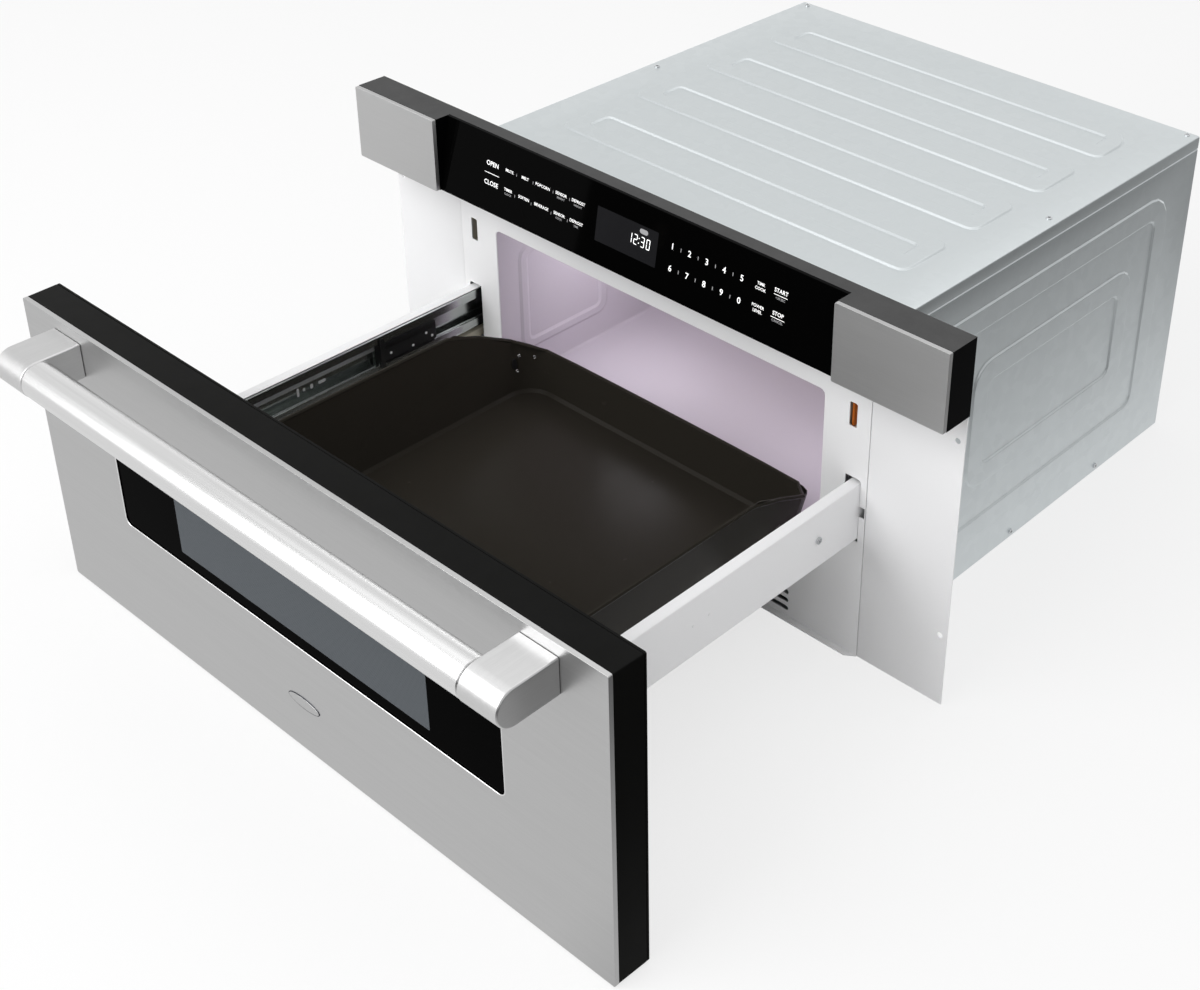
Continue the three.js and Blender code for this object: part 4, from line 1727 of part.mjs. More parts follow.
const movers = assembly(
  pair('runner_middle', middleRunner(), 'zinc'),
  pair('runner_buffer', runnerBuffer(), 'black'),
  piece('drive_pinion', drivePinion(), 'ivory'),
  piece('fan_rotor', fanRotor(), 'black'),
  piece('mode_stirrer', modeStirrer(), 'zinc'),
  pair('latch_lever', latchLever(), 'orange'),
);

const microwaveDrawer = new THREE.Group();
microwaveDrawer.add(chassis, controlPanel, drawer, movers);
microwaveDrawer.position.y = -cabinetDepth / 2;

export default microwaveDrawer;
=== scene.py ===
"""Looks of a built-in microwave drawer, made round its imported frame, in metres."""

import json
import logging
import math
from collections.abc import Callable, Iterable, Sequence
from dataclasses import dataclass
from enum import Enum

import bmesh
import bpy
from mathutils import Matrix, Vector

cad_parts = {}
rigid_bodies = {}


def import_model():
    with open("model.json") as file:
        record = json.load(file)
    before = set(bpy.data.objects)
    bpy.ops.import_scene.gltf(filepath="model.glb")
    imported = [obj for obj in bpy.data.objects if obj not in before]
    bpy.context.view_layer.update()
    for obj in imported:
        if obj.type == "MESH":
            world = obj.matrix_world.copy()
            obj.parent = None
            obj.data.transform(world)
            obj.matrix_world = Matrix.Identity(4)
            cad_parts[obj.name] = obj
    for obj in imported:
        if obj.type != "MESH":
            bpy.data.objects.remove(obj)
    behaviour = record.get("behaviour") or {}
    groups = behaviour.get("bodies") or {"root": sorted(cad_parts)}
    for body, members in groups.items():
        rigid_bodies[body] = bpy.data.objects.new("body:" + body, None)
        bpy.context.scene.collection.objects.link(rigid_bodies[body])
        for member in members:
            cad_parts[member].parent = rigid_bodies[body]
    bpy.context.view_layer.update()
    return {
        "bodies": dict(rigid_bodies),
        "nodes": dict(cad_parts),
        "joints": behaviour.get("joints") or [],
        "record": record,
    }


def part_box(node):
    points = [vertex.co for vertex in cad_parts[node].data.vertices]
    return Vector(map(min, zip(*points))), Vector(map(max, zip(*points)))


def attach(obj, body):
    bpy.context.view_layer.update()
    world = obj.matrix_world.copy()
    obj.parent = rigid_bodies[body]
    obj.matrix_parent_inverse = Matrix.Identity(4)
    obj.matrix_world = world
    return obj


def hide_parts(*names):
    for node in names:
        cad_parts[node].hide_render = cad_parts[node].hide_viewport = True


LOG = logging.getLogger("microwave_drawer")
MM = 0.001
SIDES = (("left", -1), ("right", 1))
ALONG = 0.9  # a direction whose share on an axis is above this runs along it
HAIR = 0.01 * MM  # closer than this is the same place
GOLDEN_ANGLE = math.pi * (3 - math.sqrt(5))

Piece = bpy.types.Object
Node = bpy.types.Node
Socket = bpy.types.NodeSocket
Tree = bpy.types.NodeTree
Pair = tuple[float, float]
Point = tuple[float, float, float]
Colour = tuple[float, float, float]
Area = tuple[float, float, float, float]
Ramp = tuple[float, float, float, float]
Word = tuple[str, float, float, float]
Spot = tuple[Vector, Vector]
Pick = Callable[[Vector, Vector], bool]

BLACK: Colour = (0.0, 0.0, 0.0)
WHITE: Colour = (1.0, 1.0, 1.0)


def mm(*sizes: float) -> tuple[float, ...]:
    """Sizes in millimetres, turned to metres."""
    return tuple(size * MM for size in sizes)


def tone(code: str) -> Colour:
    """A colour written as six hex digits, turned to linear light.

    Args:
        code: The colour, such as "b0b0b0".

    Returns:
        Red, green and blue in linear light.
    """
    parts = (int(code[i:i + 2], 16) / 255 for i in (0, 2, 4))
    red, green, blue = (c / 12.92 if c <= 0.04045 else ((c + 0.055) / 1.055) ** 2.4 for c in parts)
    return red, green, blue


# --------------------------------------------------------------------------------- modelling


class Axis(Enum):
    """The three axes, by their place in a vector."""

    X = 0
    Y = 1
    Z = 2


class Bench:
    """Modelling moves that all the sub-assemblies share."""

    @staticmethod
    def deselect() -> None:
        """Leaves nothing selected, because operators act on all that is."""
        bpy.ops.object.select_all(action="DESELECT")

    @staticmethod
    def use(piece: Piece) -> None:
        """Makes one piece the only selected and the active one.

        Args:
            piece: The piece to work on.
        """
        Bench.deselect()
        piece.select_set(True)
        bpy.context.view_layer.objects.active = piece

    @staticmethod
    def name(piece: Piece, name: str) -> Piece:
        """Names a piece and its mesh.

        Args:
            piece: The piece to name.
            name: The new name.

        Returns:
            The same piece.
        """
        piece.name = name
        piece.data.name = name
        return piece

    @staticmethod
    def settle(piece: Piece) -> None:
        """Puts a piece's place, turn and scale into its mesh."""
        Bench.use(piece)
        bpy.ops.object.transform_apply(location=True, rotation=True, scale=True)

    @staticmethod
    def block(name: str, low: Sequence[float], high: Sequence[float]) -> Piece:
        """A block between two corners, to be shaped further.

        Args:
            name: The piece's name.
            low: Lowest corner.
            high: Highest corner.

        Returns:
            The block, with its place in its mesh.
        """
        Bench.deselect()
        centre = (Vector(low) + Vector(high)) / 2
        bpy.ops.mesh.primitive_cube_add(size=1, location=centre)
        piece = Bench.name(bpy.context.object, name)
        piece.scale = Vector(high) - Vector(low)
        Bench.settle(piece)
        return piece

    @staticmethod
    def drum(name: str, radius: float, height: float, sides: int) -> Piece:
        """A drum standing on z = 0, to be shaped further.

        Args:
            name: The piece's name.
            radius: Its radius.
            height: Its height.
            sides: How many sides it has.

        Returns:
            The drum.
        """
        Bench.deselect()
        bpy.ops.mesh.primitive_cylinder_add(
            vertices=sides, radius=radius, depth=height, location=(0, 0, height / 2))
        piece = Bench.name(bpy.context.object, name)
        Bench.settle(piece)
        return piece

    @staticmethod
    def modify(piece: Piece, kind: str, **settings: object) -> None:
        """Adds a modifier and applies it.

        Args:
            piece: The piece to change.
            kind: The modifier's type.
            **settings: The modifier's own settings.
        """
        Bench.use(piece)
        modifier = piece.modifiers.new(kind.lower(), kind)
        for key, value in settings.items():
            setattr(modifier, key, value)
        bpy.ops.object.modifier_apply(modifier=modifier.name)

    @staticmethod
    def smooth(piece: Piece, angle: float) -> None:
        """Shades a piece smooth over edges below an angle in degrees."""
        Bench.use(piece)
        bpy.ops.object.shade_smooth_by_angle(angle=math.radians(angle))

    @staticmethod
    def ease(piece: Piece, width: float, segments: int = 2, angle: float = 35) -> None:
        """Rounds the sharp edges and shades the piece smooth between flat faces.

        Args:
            piece: The piece to ease.
            width: Width of the rounding.
            segments: Its segments.
            angle: Edges sharper than this are rounded, in degrees.
        """
        Bench.smooth(piece, angle)
        Bench.modify(piece, "BEVEL", width=width, segments=segments, limit_method="ANGLE",
                     angle_limit=math.radians(angle), harden_normals=True)

    @staticmethod
    def round_corners(piece: Piece, axis: Axis, radius: float, segments: int) -> None:
        """Rounds the edges that run along one axis.

        Args:
            piece: The piece to round.
            axis: The axis.
            radius: Radius of the rounding.
            segments: Its segments.
        """
        with Shaping(piece) as shape:
            shape.edges(lambda middle, way: abs(way[axis.value]) > ALONG)
            bpy.ops.mesh.bevel(offset=radius, segments=segments)

    @staticmethod
    def carve(piece: Piece, cutter: Piece) -> None:
        """Cuts one piece with another and removes the cutter."""
        Bench.modify(piece, "BOOLEAN", object=cutter, operation="DIFFERENCE", solver="EXACT")
        bpy.data.objects.remove(cutter)

    @staticmethod
    def copy(source: Piece, name: str, place: Matrix) -> Piece:
        """A copy with its own mesh, with its place in that mesh.

        Args:
            source: The piece to copy.
            name: The copy's name.
            place: Where it goes.

        Returns:
            The copy.
        """
        mesh = source.data.copy()
        mesh.transform(place)
        piece = bpy.data.objects.new(name, mesh)
        bpy.context.scene.collection.objects.link(piece)
        return Bench.name(piece, name)

    @staticmethod
    def join(name: str, parts: Sequence[Piece]) -> Piece:
        """Joins parts that belong to one piece.

        Args:
            name: The piece's name.
            parts: What it is made of.

        Returns:
            The joined piece.
        """
        Bench.deselect()
        for part in parts:
            part.select_set(True)
        bpy.context.view_layer.objects.active = parts[0]
        if len(parts) > 1:
            bpy.ops.object.join()
        return Bench.name(parts[0], name)

    @staticmethod
    def spin(place: Vector, outwards: Vector, turn: float = 0.0) -> Matrix:
        """A place for a form on z = 0, whose z axis points outwards after a turn in radians."""
        facing = outwards.to_track_quat("Z", "Y").to_matrix().to_4x4()
        return Matrix.Translation(place) @ facing @ Matrix.Rotation(turn, 4, "Z")


class Shaping:
    """Edit mode on one piece, where faces and edges are picked by place and direction."""

    def __init__(self, piece: Piece) -> None:
        """Keeps the piece to shape."""
        self.piece = piece

    def __enter__(self) -> "Shaping":
        """Opens edit mode with nothing picked."""
        Bench.use(self.piece)
        bpy.ops.object.mode_set(mode="EDIT")
        bpy.ops.mesh.select_all(action="DESELECT")
        return self

    def __exit__(self, *_: object) -> None:
        """Goes back to object mode."""
        bpy.ops.object.mode_set(mode="OBJECT")

    def faces(self, test: Pick) -> None:
        """Picks the faces that pass a test.

        Args:
            test: Takes a face's centre and normal.
        """
        bpy.ops.mesh.select_mode(type="FACE")
        bpy.ops.mesh.select_all(action="DESELECT")
        form = bmesh.from_edit_mesh(self.piece.data)
        for face in form.faces:
            if test(face.calc_center_median(), face.normal):
                face.select_set(True)
        bmesh.update_edit_mesh(self.piece.data)

    def edges(self, test: Pick) -> None:
        """Picks the edges that pass a test.

        Args:
            test: Takes an edge's middle and direction.
        """
        bpy.ops.mesh.select_mode(type="EDGE")
        bpy.ops.mesh.select_all(action="DESELECT")
        form = bmesh.from_edit_mesh(self.piece.data)
        for edge in form.edges:
            first, last = (corner.co for corner in edge.verts)
            if test((first + last) / 2, (last - first).normalized()):
                edge.select_set(True)
        bmesh.update_edit_mesh(self.piece.data)


# --------------------------------------------------------------------------------- materials


class Graph:
    """Short hand for laying out a node tree."""

    def __init__(self, tree: Tree) -> None:
        """Starts from an empty tree."""
        self.tree = tree
        tree.nodes.clear()

    def node(self, kind: str, **settings: object) -> Node:
        """Adds a node.

        Args:
            kind: The node's type.
            **settings: Its own settings.

        Returns:
            The node.
        """
        made = self.tree.nodes.new(kind)
        for key, value in settings.items():
            setattr(made, key, value)
        return made

    def link(self, source: Socket, target: Socket) -> None:
        """Links an output to an input."""
        self.tree.links.new(source, target)

    def give(self, socket: Socket, value: object) -> None:
        """Links an input to a socket, or sets it, with full alpha for a colour.

        Args:
            socket: The input.
            value: A socket, a number or three numbers.
        """
        if isinstance(value, Socket):
            self.link(value, socket)
        else:
            socket.default_value = (*value, 1) if socket.type == "RGBA" else value

    def feed(self, node: Node, **values: object) -> Node:
        """Sets or links inputs, named with underscores for spaces.

        Args:
            node: The node whose inputs are fed.
            **values: A socket to link or a value to set, for each input.

        Returns:
            The same node.
        """
        for key, value in values.items():
            self.give(node.inputs[key.replace("_", " ")], value)
        return node

    def fill(self, node: Node, values: Iterable[object], first: int = 0) -> Node:
        """Sets or links inputs by their order.

        Args:
            node: The node whose inputs are filled.
            values: A socket to link or a value to set, for each input.
            first: The input to start with.

        Returns:
            The same node.
        """
        for socket, value in zip(list(node.inputs)[first:], values):
            self.give(socket, value)
        return node

    def ramp(self, value: Socket, start: float, end: float, low: float, high: float) -> Socket:
        """A value that goes from low to high while another goes from start to end."""
        node = self.feed(self.node("ShaderNodeMapRange"), Value=value, From_Min=start,
                         From_Max=end, To_Min=low, To_Max=high)
        return node.outputs["Result"]

    def around(self, mask: Socket, middle: float, spread: float) -> Socket:
        """A value that a mask from 0 to 1 moves by a spread to both sides of a middle."""
        return self.ramp(mask, 0.0, 1.0, middle - spread, middle + spread)

    def blend(self, mask: Socket, low: object, high: object) -> Socket:
        """A colour that goes from low to high with a mask.

        Args:
            mask: Mask from 0 to 1.
            low: Colour at 0, or its socket.
            high: Colour at 1, or its socket.

        Returns:
            The colour's socket.
        """
        node = self.fill(self.node("ShaderNodeMix", data_type="RGBA"), (mask,))
        return self.fill(node, (low, high), first=6).outputs[2]

    def maths(self, operation: str, *terms: object) -> Socket:
        """The result of a sum on sockets or numbers."""
        return self.fill(self.node("ShaderNodeMath", operation=operation), terms).outputs[0]

    def vectors(self, operation: str, *terms: object) -> Socket:
        """The result of a sum on vectors."""
        return self.fill(self.node("ShaderNodeVectorMath", operation=operation), terms).outputs[0]

    def split(self, vector: Socket) -> tuple[Socket, Socket, Socket]:
        """The x, y and z of a vector."""
        return tuple(self.fill(self.node("ShaderNodeSeparateXYZ"), (vector,)).outputs)

    def noise(self, place: Socket, scale: object, detail: float, roughness: float = 0.5) -> Node:
        """A noise over some coordinates."""
        return self.feed(self.node("ShaderNodeTexNoise"), Vector=place, Scale=scale, Detail=detail,
                         Roughness=roughness)

    def bump(self, height: Socket, depth: float) -> Socket:
        """A normal that a height from 0 to 1 disturbs, by a depth in metres."""
        node = self.node("ShaderNodeBump")
        return self.feed(node, Height=height, Distance=depth, Strength=1.0).outputs["Normal"]

    def shift(self, share: Socket, first: Node, second: Node) -> Node:
        """A shader that goes from the first to the second with a share."""
        return self.fill(self.node("ShaderNodeMixShader"),
                         (share, first.outputs[0], second.outputs[0]))


class Effect(Enum):
    """The surface effects that more than one finish uses."""

    GRAIN = "brushed_grain"
    SPANGLE = "zinc_spangle"
    MOTTLE = "soft_mottle"
    # Lightens faces that look up: settled dust, and a painted top sheen of light falling on them
    DUST = "settled_dust"


class Effects:
    """Shader node groups, each built once."""

    GRAIN_LAYERS = (("Line", 1.0, 4.0), ("Streak", 0.12, 2.0))
    GRAIN_ROUGHNESS = 0.62
    WANDER_SCALE = 90.0
    WANDER_REACH = (0.006, 0.006, 0.006)
    FROST_SCALE = 1400.0
    SPECK_FINENESS = 60.0
    PATCH_SCALE = 35.0
    PATCH_ROUGHNESS = 0.7
    PATCH_GAIN = 0.25
    PATCH_BASE = 0.375

    @staticmethod
    def group(effect: Effect) -> Tree:
        """The node group of an effect, built when it is first asked for.

        Args:
            effect: Which effect.

        Returns:
            The group.
        """
        made = bpy.data.node_groups.get(effect.value)
        if made is None:
            made = bpy.data.node_groups.new(effect.value, "ShaderNodeTree")
            {Effect.GRAIN: Effects.grain, Effect.SPANGLE: Effects.spangle,
             Effect.MOTTLE: Effects.mottle, Effect.DUST: Effects.dust_and_top_sheen}[effect](made)
        return made

    @staticmethod
    def ends(group: Tree, setting: str, kind: str,
             *outputs: str) -> tuple[Graph, Socket, Socket, Node]:
        """Names a group's sockets and lays out its two ends.

        Args:
            group: The group.
            setting: Its input beside the coordinates.
            kind: That input's type.
            *outputs: Its outputs, which are values.

        Returns:
            The graph, the coordinates, the setting and the node that takes the outputs.
        """
        for name, socket in (("Coordinates", "NodeSocketVector"), (setting, kind)):
            group.interface.new_socket(name, in_out="INPUT", socket_type=socket)
        for name in outputs:
            group.interface.new_socket(name, in_out="OUTPUT", socket_type="NodeSocketFloat")
        graph = Graph(group)
        entry, leave = graph.node("NodeGroupInput"), graph.node("NodeGroupOutput")
        return graph, entry.outputs["Coordinates"], entry.outputs[setting], leave

    @staticmethod
    def grain(group: Tree) -> None:
        """Brush marks: fine lines and wider streaks along one direction.

        Args:
            group: The group to fill.
        """
        graph, place, stretch, leave = Effects.ends(group, "Stretch", "NodeSocketVector",
                                                    "Line", "Streak")
        stretched = graph.vectors("MULTIPLY", place, stretch)
        for name, scale, detail in Effects.GRAIN_LAYERS:
            marks = graph.noise(stretched, scale, detail, Effects.GRAIN_ROUGHNESS)
            graph.link(marks.outputs["Fac"], leave.inputs[name])

    @staticmethod
    def spangle(group: Tree) -> None:
        """Crystals of a zinc coating, with their borders.

        Args:
            group: The group to fill.
        """
        graph, place, scale, leave = Effects.ends(group, "Scale", "NodeSocketFloat",
                                                  "Crystal", "Frost")
        wander = graph.noise(place, Effects.WANDER_SCALE, detail=2.0).outputs["Color"]
        shifted = graph.vectors("MULTIPLY_ADD", wander, Effects.WANDER_REACH, place)
        cells = graph.feed(graph.node("ShaderNodeTexVoronoi"), Vector=shifted, Scale=scale)
        shades = graph.fill(graph.node("ShaderNodeSeparateColor"), (cells.outputs["Color"],))
        frost = graph.noise(place, Effects.FROST_SCALE, detail=3.0).outputs["Fac"]
        graph.feed(leave, Crystal=shades.outputs[0], Frost=frost)

    @staticmethod
    def mottle(group: Tree) -> None:
        """Slow cloudiness with fine specks.

        Args:
            group: The group to fill.
        """
        graph, place, scale, leave = Effects.ends(group, "Scale", "NodeSocketFloat",
                                                  "Cloud", "Speck")
        finer = graph.maths("MULTIPLY", scale, Effects.SPECK_FINENESS)
        graph.feed(leave, Cloud=graph.noise(place, scale, detail=3.0).outputs["Fac"],
                   Speck=graph.noise(place, finer, detail=2.0).outputs["Fac"])

    @staticmethod
    def dust_and_top_sheen(group: Tree) -> None:
        """Dust that settles on faces that look up, and a painted sheen of light on them.

        Args:
            group: The group to fill.
        """
        graph, place, amount, leave = Effects.ends(group, "Amount", "NodeSocketFloat", "Mask")
        facing = graph.split(graph.node("ShaderNodeNewGeometry").outputs["Normal"])[2]
        patch = graph.noise(place, Effects.PATCH_SCALE, detail=5.0,
                            roughness=Effects.PATCH_ROUGHNESS)
        level = graph.maths("MULTIPLY_ADD", patch.outputs["Fac"], Effects.PATCH_GAIN,
                            Effects.PATCH_BASE)
        settled = graph.maths("MULTIPLY", graph.maths("MAXIMUM", facing, 0.0), level)
        graph.feed(leave, Mask=graph.maths("MULTIPLY", settled, amount))


class Paintwork(Graph):
    """A material's node tree, with its main shader and the piece's own coordinates."""

    def __init__(self, tree: Tree) -> None:
        """Starts from a main shader that is the material's surface.

        Args:
            tree: The material's tree.
        """
        super().__init__(tree)
        self.shader = self.node("ShaderNodeBsdfPrincipled")
        self.place = self.node("ShaderNodeTexCoord").outputs["Object"]
        self.fill(self.node("ShaderNodeOutputMaterial"), (self.shader.outputs["BSDF"],))

    def effect(self, effect: Effect, **values: object) -> Node:
        """Places an effect's group.

        Args:
            effect: Which effect.
            **values: Its inputs beside the coordinates.

        Returns:
            The group node.
        """
        node = self.node("ShaderNodeGroup", node_tree=Effects.group(effect))
        return self.feed(node, Coordinates=self.place, **values)

    def surface(self, **values: object) -> None:
        """Feeds the main shader."""
        self.feed(self.shader, **values)

    def with_dust_and_top_sheen(self, colour: Socket, amount: float, dust_and_top_sheen: Colour) -> Socket:
        """Dust and a painted top sheen: a colour made lighter on the faces that look up."""
        return self.blend(self.effect(Effect.DUST, Amount=amount).outputs["Mask"], colour, dust_and_top_sheen)


@dataclass(frozen=True)
class Finish:
    """A finish: its name, colour and how rough and metallic it is."""

    name: str
    colour: Colour
    roughness: float
    metallic: float = 0.0

    def material(self) -> bpy.types.Material:
        """The material of the finish, built when it is first asked for.

        Returns:
            The material.
        """
        name = f"{self.name}_finish"
        made = bpy.data.materials.get(name)
        if made is None:
            made = bpy.data.materials.new(name)
            made.use_nodes = True
            made.diffuse_color = (*self.colour, 1)
            paint = Paintwork(made.node_tree)
            paint.surface(Metallic=self.metallic, Roughness=self.roughness, Base_Color=self.colour)
            self.detail(paint)
        return made

    def detail(self, paint: Paintwork) -> None:
        """Adds the detail of the surface, which a plain finish has none of."""

    def shade(self, factor: float) -> Colour:
        """The colour, lighter or darker by a factor."""
        return tuple(min(1.0, part * factor) for part in self.colour)

    def shades(self, spread: float) -> tuple[Colour, Colour]:
        """The colour, darker and lighter by a spread."""
        return self.shade(1 - spread), self.shade(1 + spread)


@dataclass(frozen=True)
class Brushed(Finish):
    """Brushed metal, whose stretch is small along the brush marks."""

    stretch: Point = (25.0, 3200.0, 3200.0)
    depth: float = 0.00002
    line_share: float = 0.65
    streak_share: float = 0.35
    shading: Pair = (0.86, 1.12)
    gloss_play: float = 0.09
    smear_scale: float = 7.0
    smear_play: float = 0.03

    def detail(self, paint: Paintwork) -> None:
        """Brush marks in colour, roughness and height.

        Args:
            paint: The material's graph.
        """
        marks = paint.effect(Effect.GRAIN, Stretch=self.stretch).outputs
        both = paint.maths("MULTIPLY_ADD", marks["Line"], self.line_share,
                           paint.maths("MULTIPLY", marks["Streak"], self.streak_share))
        smear = paint.effect(Effect.MOTTLE, Scale=self.smear_scale).outputs["Cloud"]
        rough = paint.maths("ADD", paint.around(both, self.roughness, self.gloss_play),
                            paint.around(smear, 0.0, self.smear_play))
        dark, light = self.shading
        paint.surface(Base_Color=paint.blend(both, self.shade(dark), self.shade(light)),
                      Roughness=rough, Normal=paint.bump(both, self.depth))


@dataclass(frozen=True)
class Galvanised(Finish):
    """Zinc-coated sheet with faint crystals and rolling marks."""

    crystal: float = 95.0
    crystal_share: float = 0.6
    rolling: Point = (900.0, 12.0, 12.0)
    rolling_share: float = 0.4
    contrast: float = 0.022
    # dust and a painted top sheen on faces that look up
    dust_and_sheen_amount: float = 0.12
    dust_and_sheen_colour: Colour = tone("d8d6d0")
    gloss_play: float = -0.04
    frost_depth: float = 0.000012

    def detail(self, paint: Paintwork) -> None:
        """Crystals in colour and roughness, frost in height.

        Args:
            paint: The material's graph.
        """
        zinc = paint.effect(Effect.SPANGLE, Scale=self.crystal).outputs
        rolled = paint.effect(Effect.GRAIN, Stretch=self.rolling).outputs["Streak"]
        mixed = paint.maths("MULTIPLY_ADD", zinc["Crystal"], self.crystal_share,
                            paint.maths("MULTIPLY", rolled, self.rolling_share))
        clean = paint.blend(mixed, *self.shades(self.contrast))
        paint.surface(Base_Color=paint.with_dust_and_top_sheen(clean, self.dust_and_sheen_amount, self.dust_and_sheen_colour),
                      Roughness=paint.around(mixed, self.roughness, self.gloss_play),
                      Normal=paint.bump(zinc["Frost"], self.frost_depth))


@dataclass(frozen=True)
class Coated(Finish):
    """Paint, lacquer or moulded plastic with a fine skin."""

    skin: float = 420.0
    cloud_size: float = 60.0
    depth: float = 0.00003
    cloud: float = 0.03
    # dust and a painted top sheen on faces that look up
    dust_and_sheen_amount: float = 0.0
    dust_and_sheen_colour: Colour = (0.38, 0.38, 0.38)
    specular: float = 0.5
    gloss_play: float = 0.05

    def detail(self, paint: Paintwork) -> None:
        """Faint clouds in colour, a fine skin in height. Dust and a painted top sheen lighten the
        top.

        Args:
            paint: The material's graph.
        """
        cloud = paint.effect(Effect.MOTTLE, Scale=self.skin / self.cloud_size).outputs["Cloud"]
        skin = paint.effect(Effect.MOTTLE, Scale=self.skin).outputs["Cloud"]
        clean = paint.blend(cloud, *self.shades(self.cloud))
        paint.surface(Base_Color=paint.with_dust_and_top_sheen(clean, self.dust_and_sheen_amount, self.dust_and_sheen_colour),
                      Specular_IOR_Level=self.specular,
                      Roughness=paint.around(cloud, self.roughness, self.gloss_play),
                      Normal=paint.bump(skin, self.depth))


@dataclass(frozen=True)
class Enamelled(Finish):
    """Dark glossy enamel with fine specks and a slow sag in its gloss."""

    speck: Colour = (0.06, 0.055, 0.05)
    fineness: float = 38.0
    speck_span: Pair = (0.66, 0.74)
    gloss: Pair = (-0.04, 0.06)
    sag: float = 0.00012
    specular: float = 0.045

    def detail(self, paint: Paintwork) -> None:
        """Specks in colour, slow waves in height.

        Args:
            paint: The material's graph.
        """
        fine = paint.effect(Effect.MOTTLE, Scale=self.fineness).outputs
        flecks = paint.ramp(fine["Speck"], *self.speck_span, 0.0, 1.0)
        low, high = (self.roughness + play for play in self.gloss)
        paint.surface(Base_Color=paint.blend(flecks, self.colour, self.speck),
                      Roughness=paint.ramp(fine["Cloud"], 0.0, 1.0, low, high),
                      Normal=paint.bump(fine["Cloud"], self.sag),
                      Specular_IOR_Level=self.specular)


@dataclass(frozen=True)
class Printed(Finish):
    """Screen print and lit segments. The segments glow as lamps; on the print the glow is painted
    brightness.
    """

    glow: float = 0.0
    ink_scale: float = 300.0
    thin_ink: float = 0.9

    def detail(self, paint: Paintwork) -> None:
        """Ink that is uneven by a few per cent.

        Args:
            paint: The material's graph.
        """
        ink = paint.effect(Effect.MOTTLE, Scale=self.ink_scale).outputs["Cloud"]
        colour = paint.blend(ink, self.shade(self.thin_ink), self.colour)
        paint.surface(Base_Color=colour, Emission_Color=colour, Emission_Strength=self.glow)


@dataclass(frozen=True)
class Perforated(Finish):
    """A painted sheet with a fine grid of punched holes or solder dots."""

    pitch: float = 0.0024
    depth: float = 0.0003
    hole: Colour = (0.02, 0.022, 0.024)
    hole_roughness: float = 0.8
    reach: float = 0.24
    edge: float = 0.1
    specular: float = 0.05

    def detail(self, paint: Paintwork) -> None:
        """Round holes in a square grid, in colour and height.

        Args:
            paint: The material's graph.
        """
        squares = []
        for place in paint.split(paint.place)[::2]:
            cell = paint.maths("FRACT", paint.maths("DIVIDE", place, self.pitch))
            off = paint.maths("SUBTRACT", cell, 0.5)
            squares.append(paint.maths("MULTIPLY", off, off))
        distance = paint.maths("SQRT", paint.maths("ADD", *squares))
        sheet = paint.ramp(distance, self.reach, self.reach + self.edge, 0.0, 1.0)
        paint.surface(Base_Color=paint.blend(sheet, self.hole, self.colour),
                      Roughness=paint.ramp(sheet, 0.0, 1.0, self.hole_roughness, self.roughness),
                      Normal=paint.bump(sheet, self.depth), Specular_IOR_Level=self.specular)


STEEL = Brushed("brushed_steel_face", tone("c6c6c6"), 0.36, 1.0)
STEEL_END = Brushed("brushed_steel_end", tone("bebebe"), 0.52, 0.85)
STEEL_BAR = Brushed("satin_steel_bar", tone("ececec"), 0.25, 1.0, stretch=(4.0, 520.0, 520.0),
                    depth=0.00004)
STEEL_BRACKET = Brushed("satin_steel_bracket", tone("dadada"), 0.32, 1.0,
                        stretch=(1800.0, 60.0, 1800.0), depth=0.000008)
BRIGHT_EDGE = Brushed("bright_edge", tone("f0f0f0"), 0.2, 1.0, depth=0.000004)
ZINC_SHEET = Galvanised("galvanised_sheet", tone("d6dcde"), 0.36, 0.92)
RUNNER_ZINC = Brushed("runner_zinc", tone("c6cac8"), 0.2, 1.0, stretch=(500.0, 18.0, 500.0),
                      depth=0.000001)
# bands on the members' flat webs, lighter and matte: a painted highlight for the light that their
# rolled raceways catch
RACEWAY_PAINTED_HIGHLIGHT = Brushed("runner_raceway_painted_highlight", tone("c4c6c8"), 0.4, 0.25, stretch=(500.0, 18.0, 500.0),
                     depth=0.000001)
PLATED = Brushed("plated_screw", tone("d2d4d6"), 0.26, 1.0, stretch=(900.0, 900.0, 900.0))
DARK_SCREW = Brushed("dark_screw", tone("54555a"), 0.35, 1.0, stretch=(900.0, 900.0, 900.0))
WHITE_PAINT = Coated("white_paint", tone("f0f0f1"), 0.42, cloud=0.012, specular=0.3)
OVEN_PAINT = Coated("oven_paint", tone("d0c8d2"), 0.45, skin=300.0, cloud=0.05, specular=0.3)
DOOR_BLACK = Coated("door_black_plastic", tone("080807"), 0.5, skin=1500.0, cloud=0.12,
                    dust_and_sheen_amount=0.04, specular=0.02)
# its strong lightening of faces that look up paints the grey sheen of light falling on the panel's
# black top
PANEL_BLACK = Coated("panel_black_plastic", tone("050506"), 0.5, skin=1500.0, cloud=0.1,
                     dust_and_sheen_amount=0.4, specular=0.03)
BLACK_GLASS = Coated("black_glass", tone("040404"), 0.06, skin=8.0, depth=0.00002, cloud=0.1,
                     specular=0.02)
WINDOW_GLASS = Coated("window_glass", tone("020202"), 0.1, skin=8.0, depth=0.00001, cloud=0.1,
                      specular=0.004)
WINDOW_SIGHT = Perforated("window_sight", tone("575b5f"), 0.5, pitch=0.0016, depth=0.00004,
                          hole=tone("3c4044"))
DISPLAY = Coated("display_window", tone("1c1c1e"), 0.3, skin=2000.0, depth=0.000004,
                 cloud=0.06, specular=0.04)
ENAMEL = Enamelled("black_enamel", tone("2e2b26"), 0.24)
SCREEN = Perforated("window_screen", tone("676c70"), 0.5)
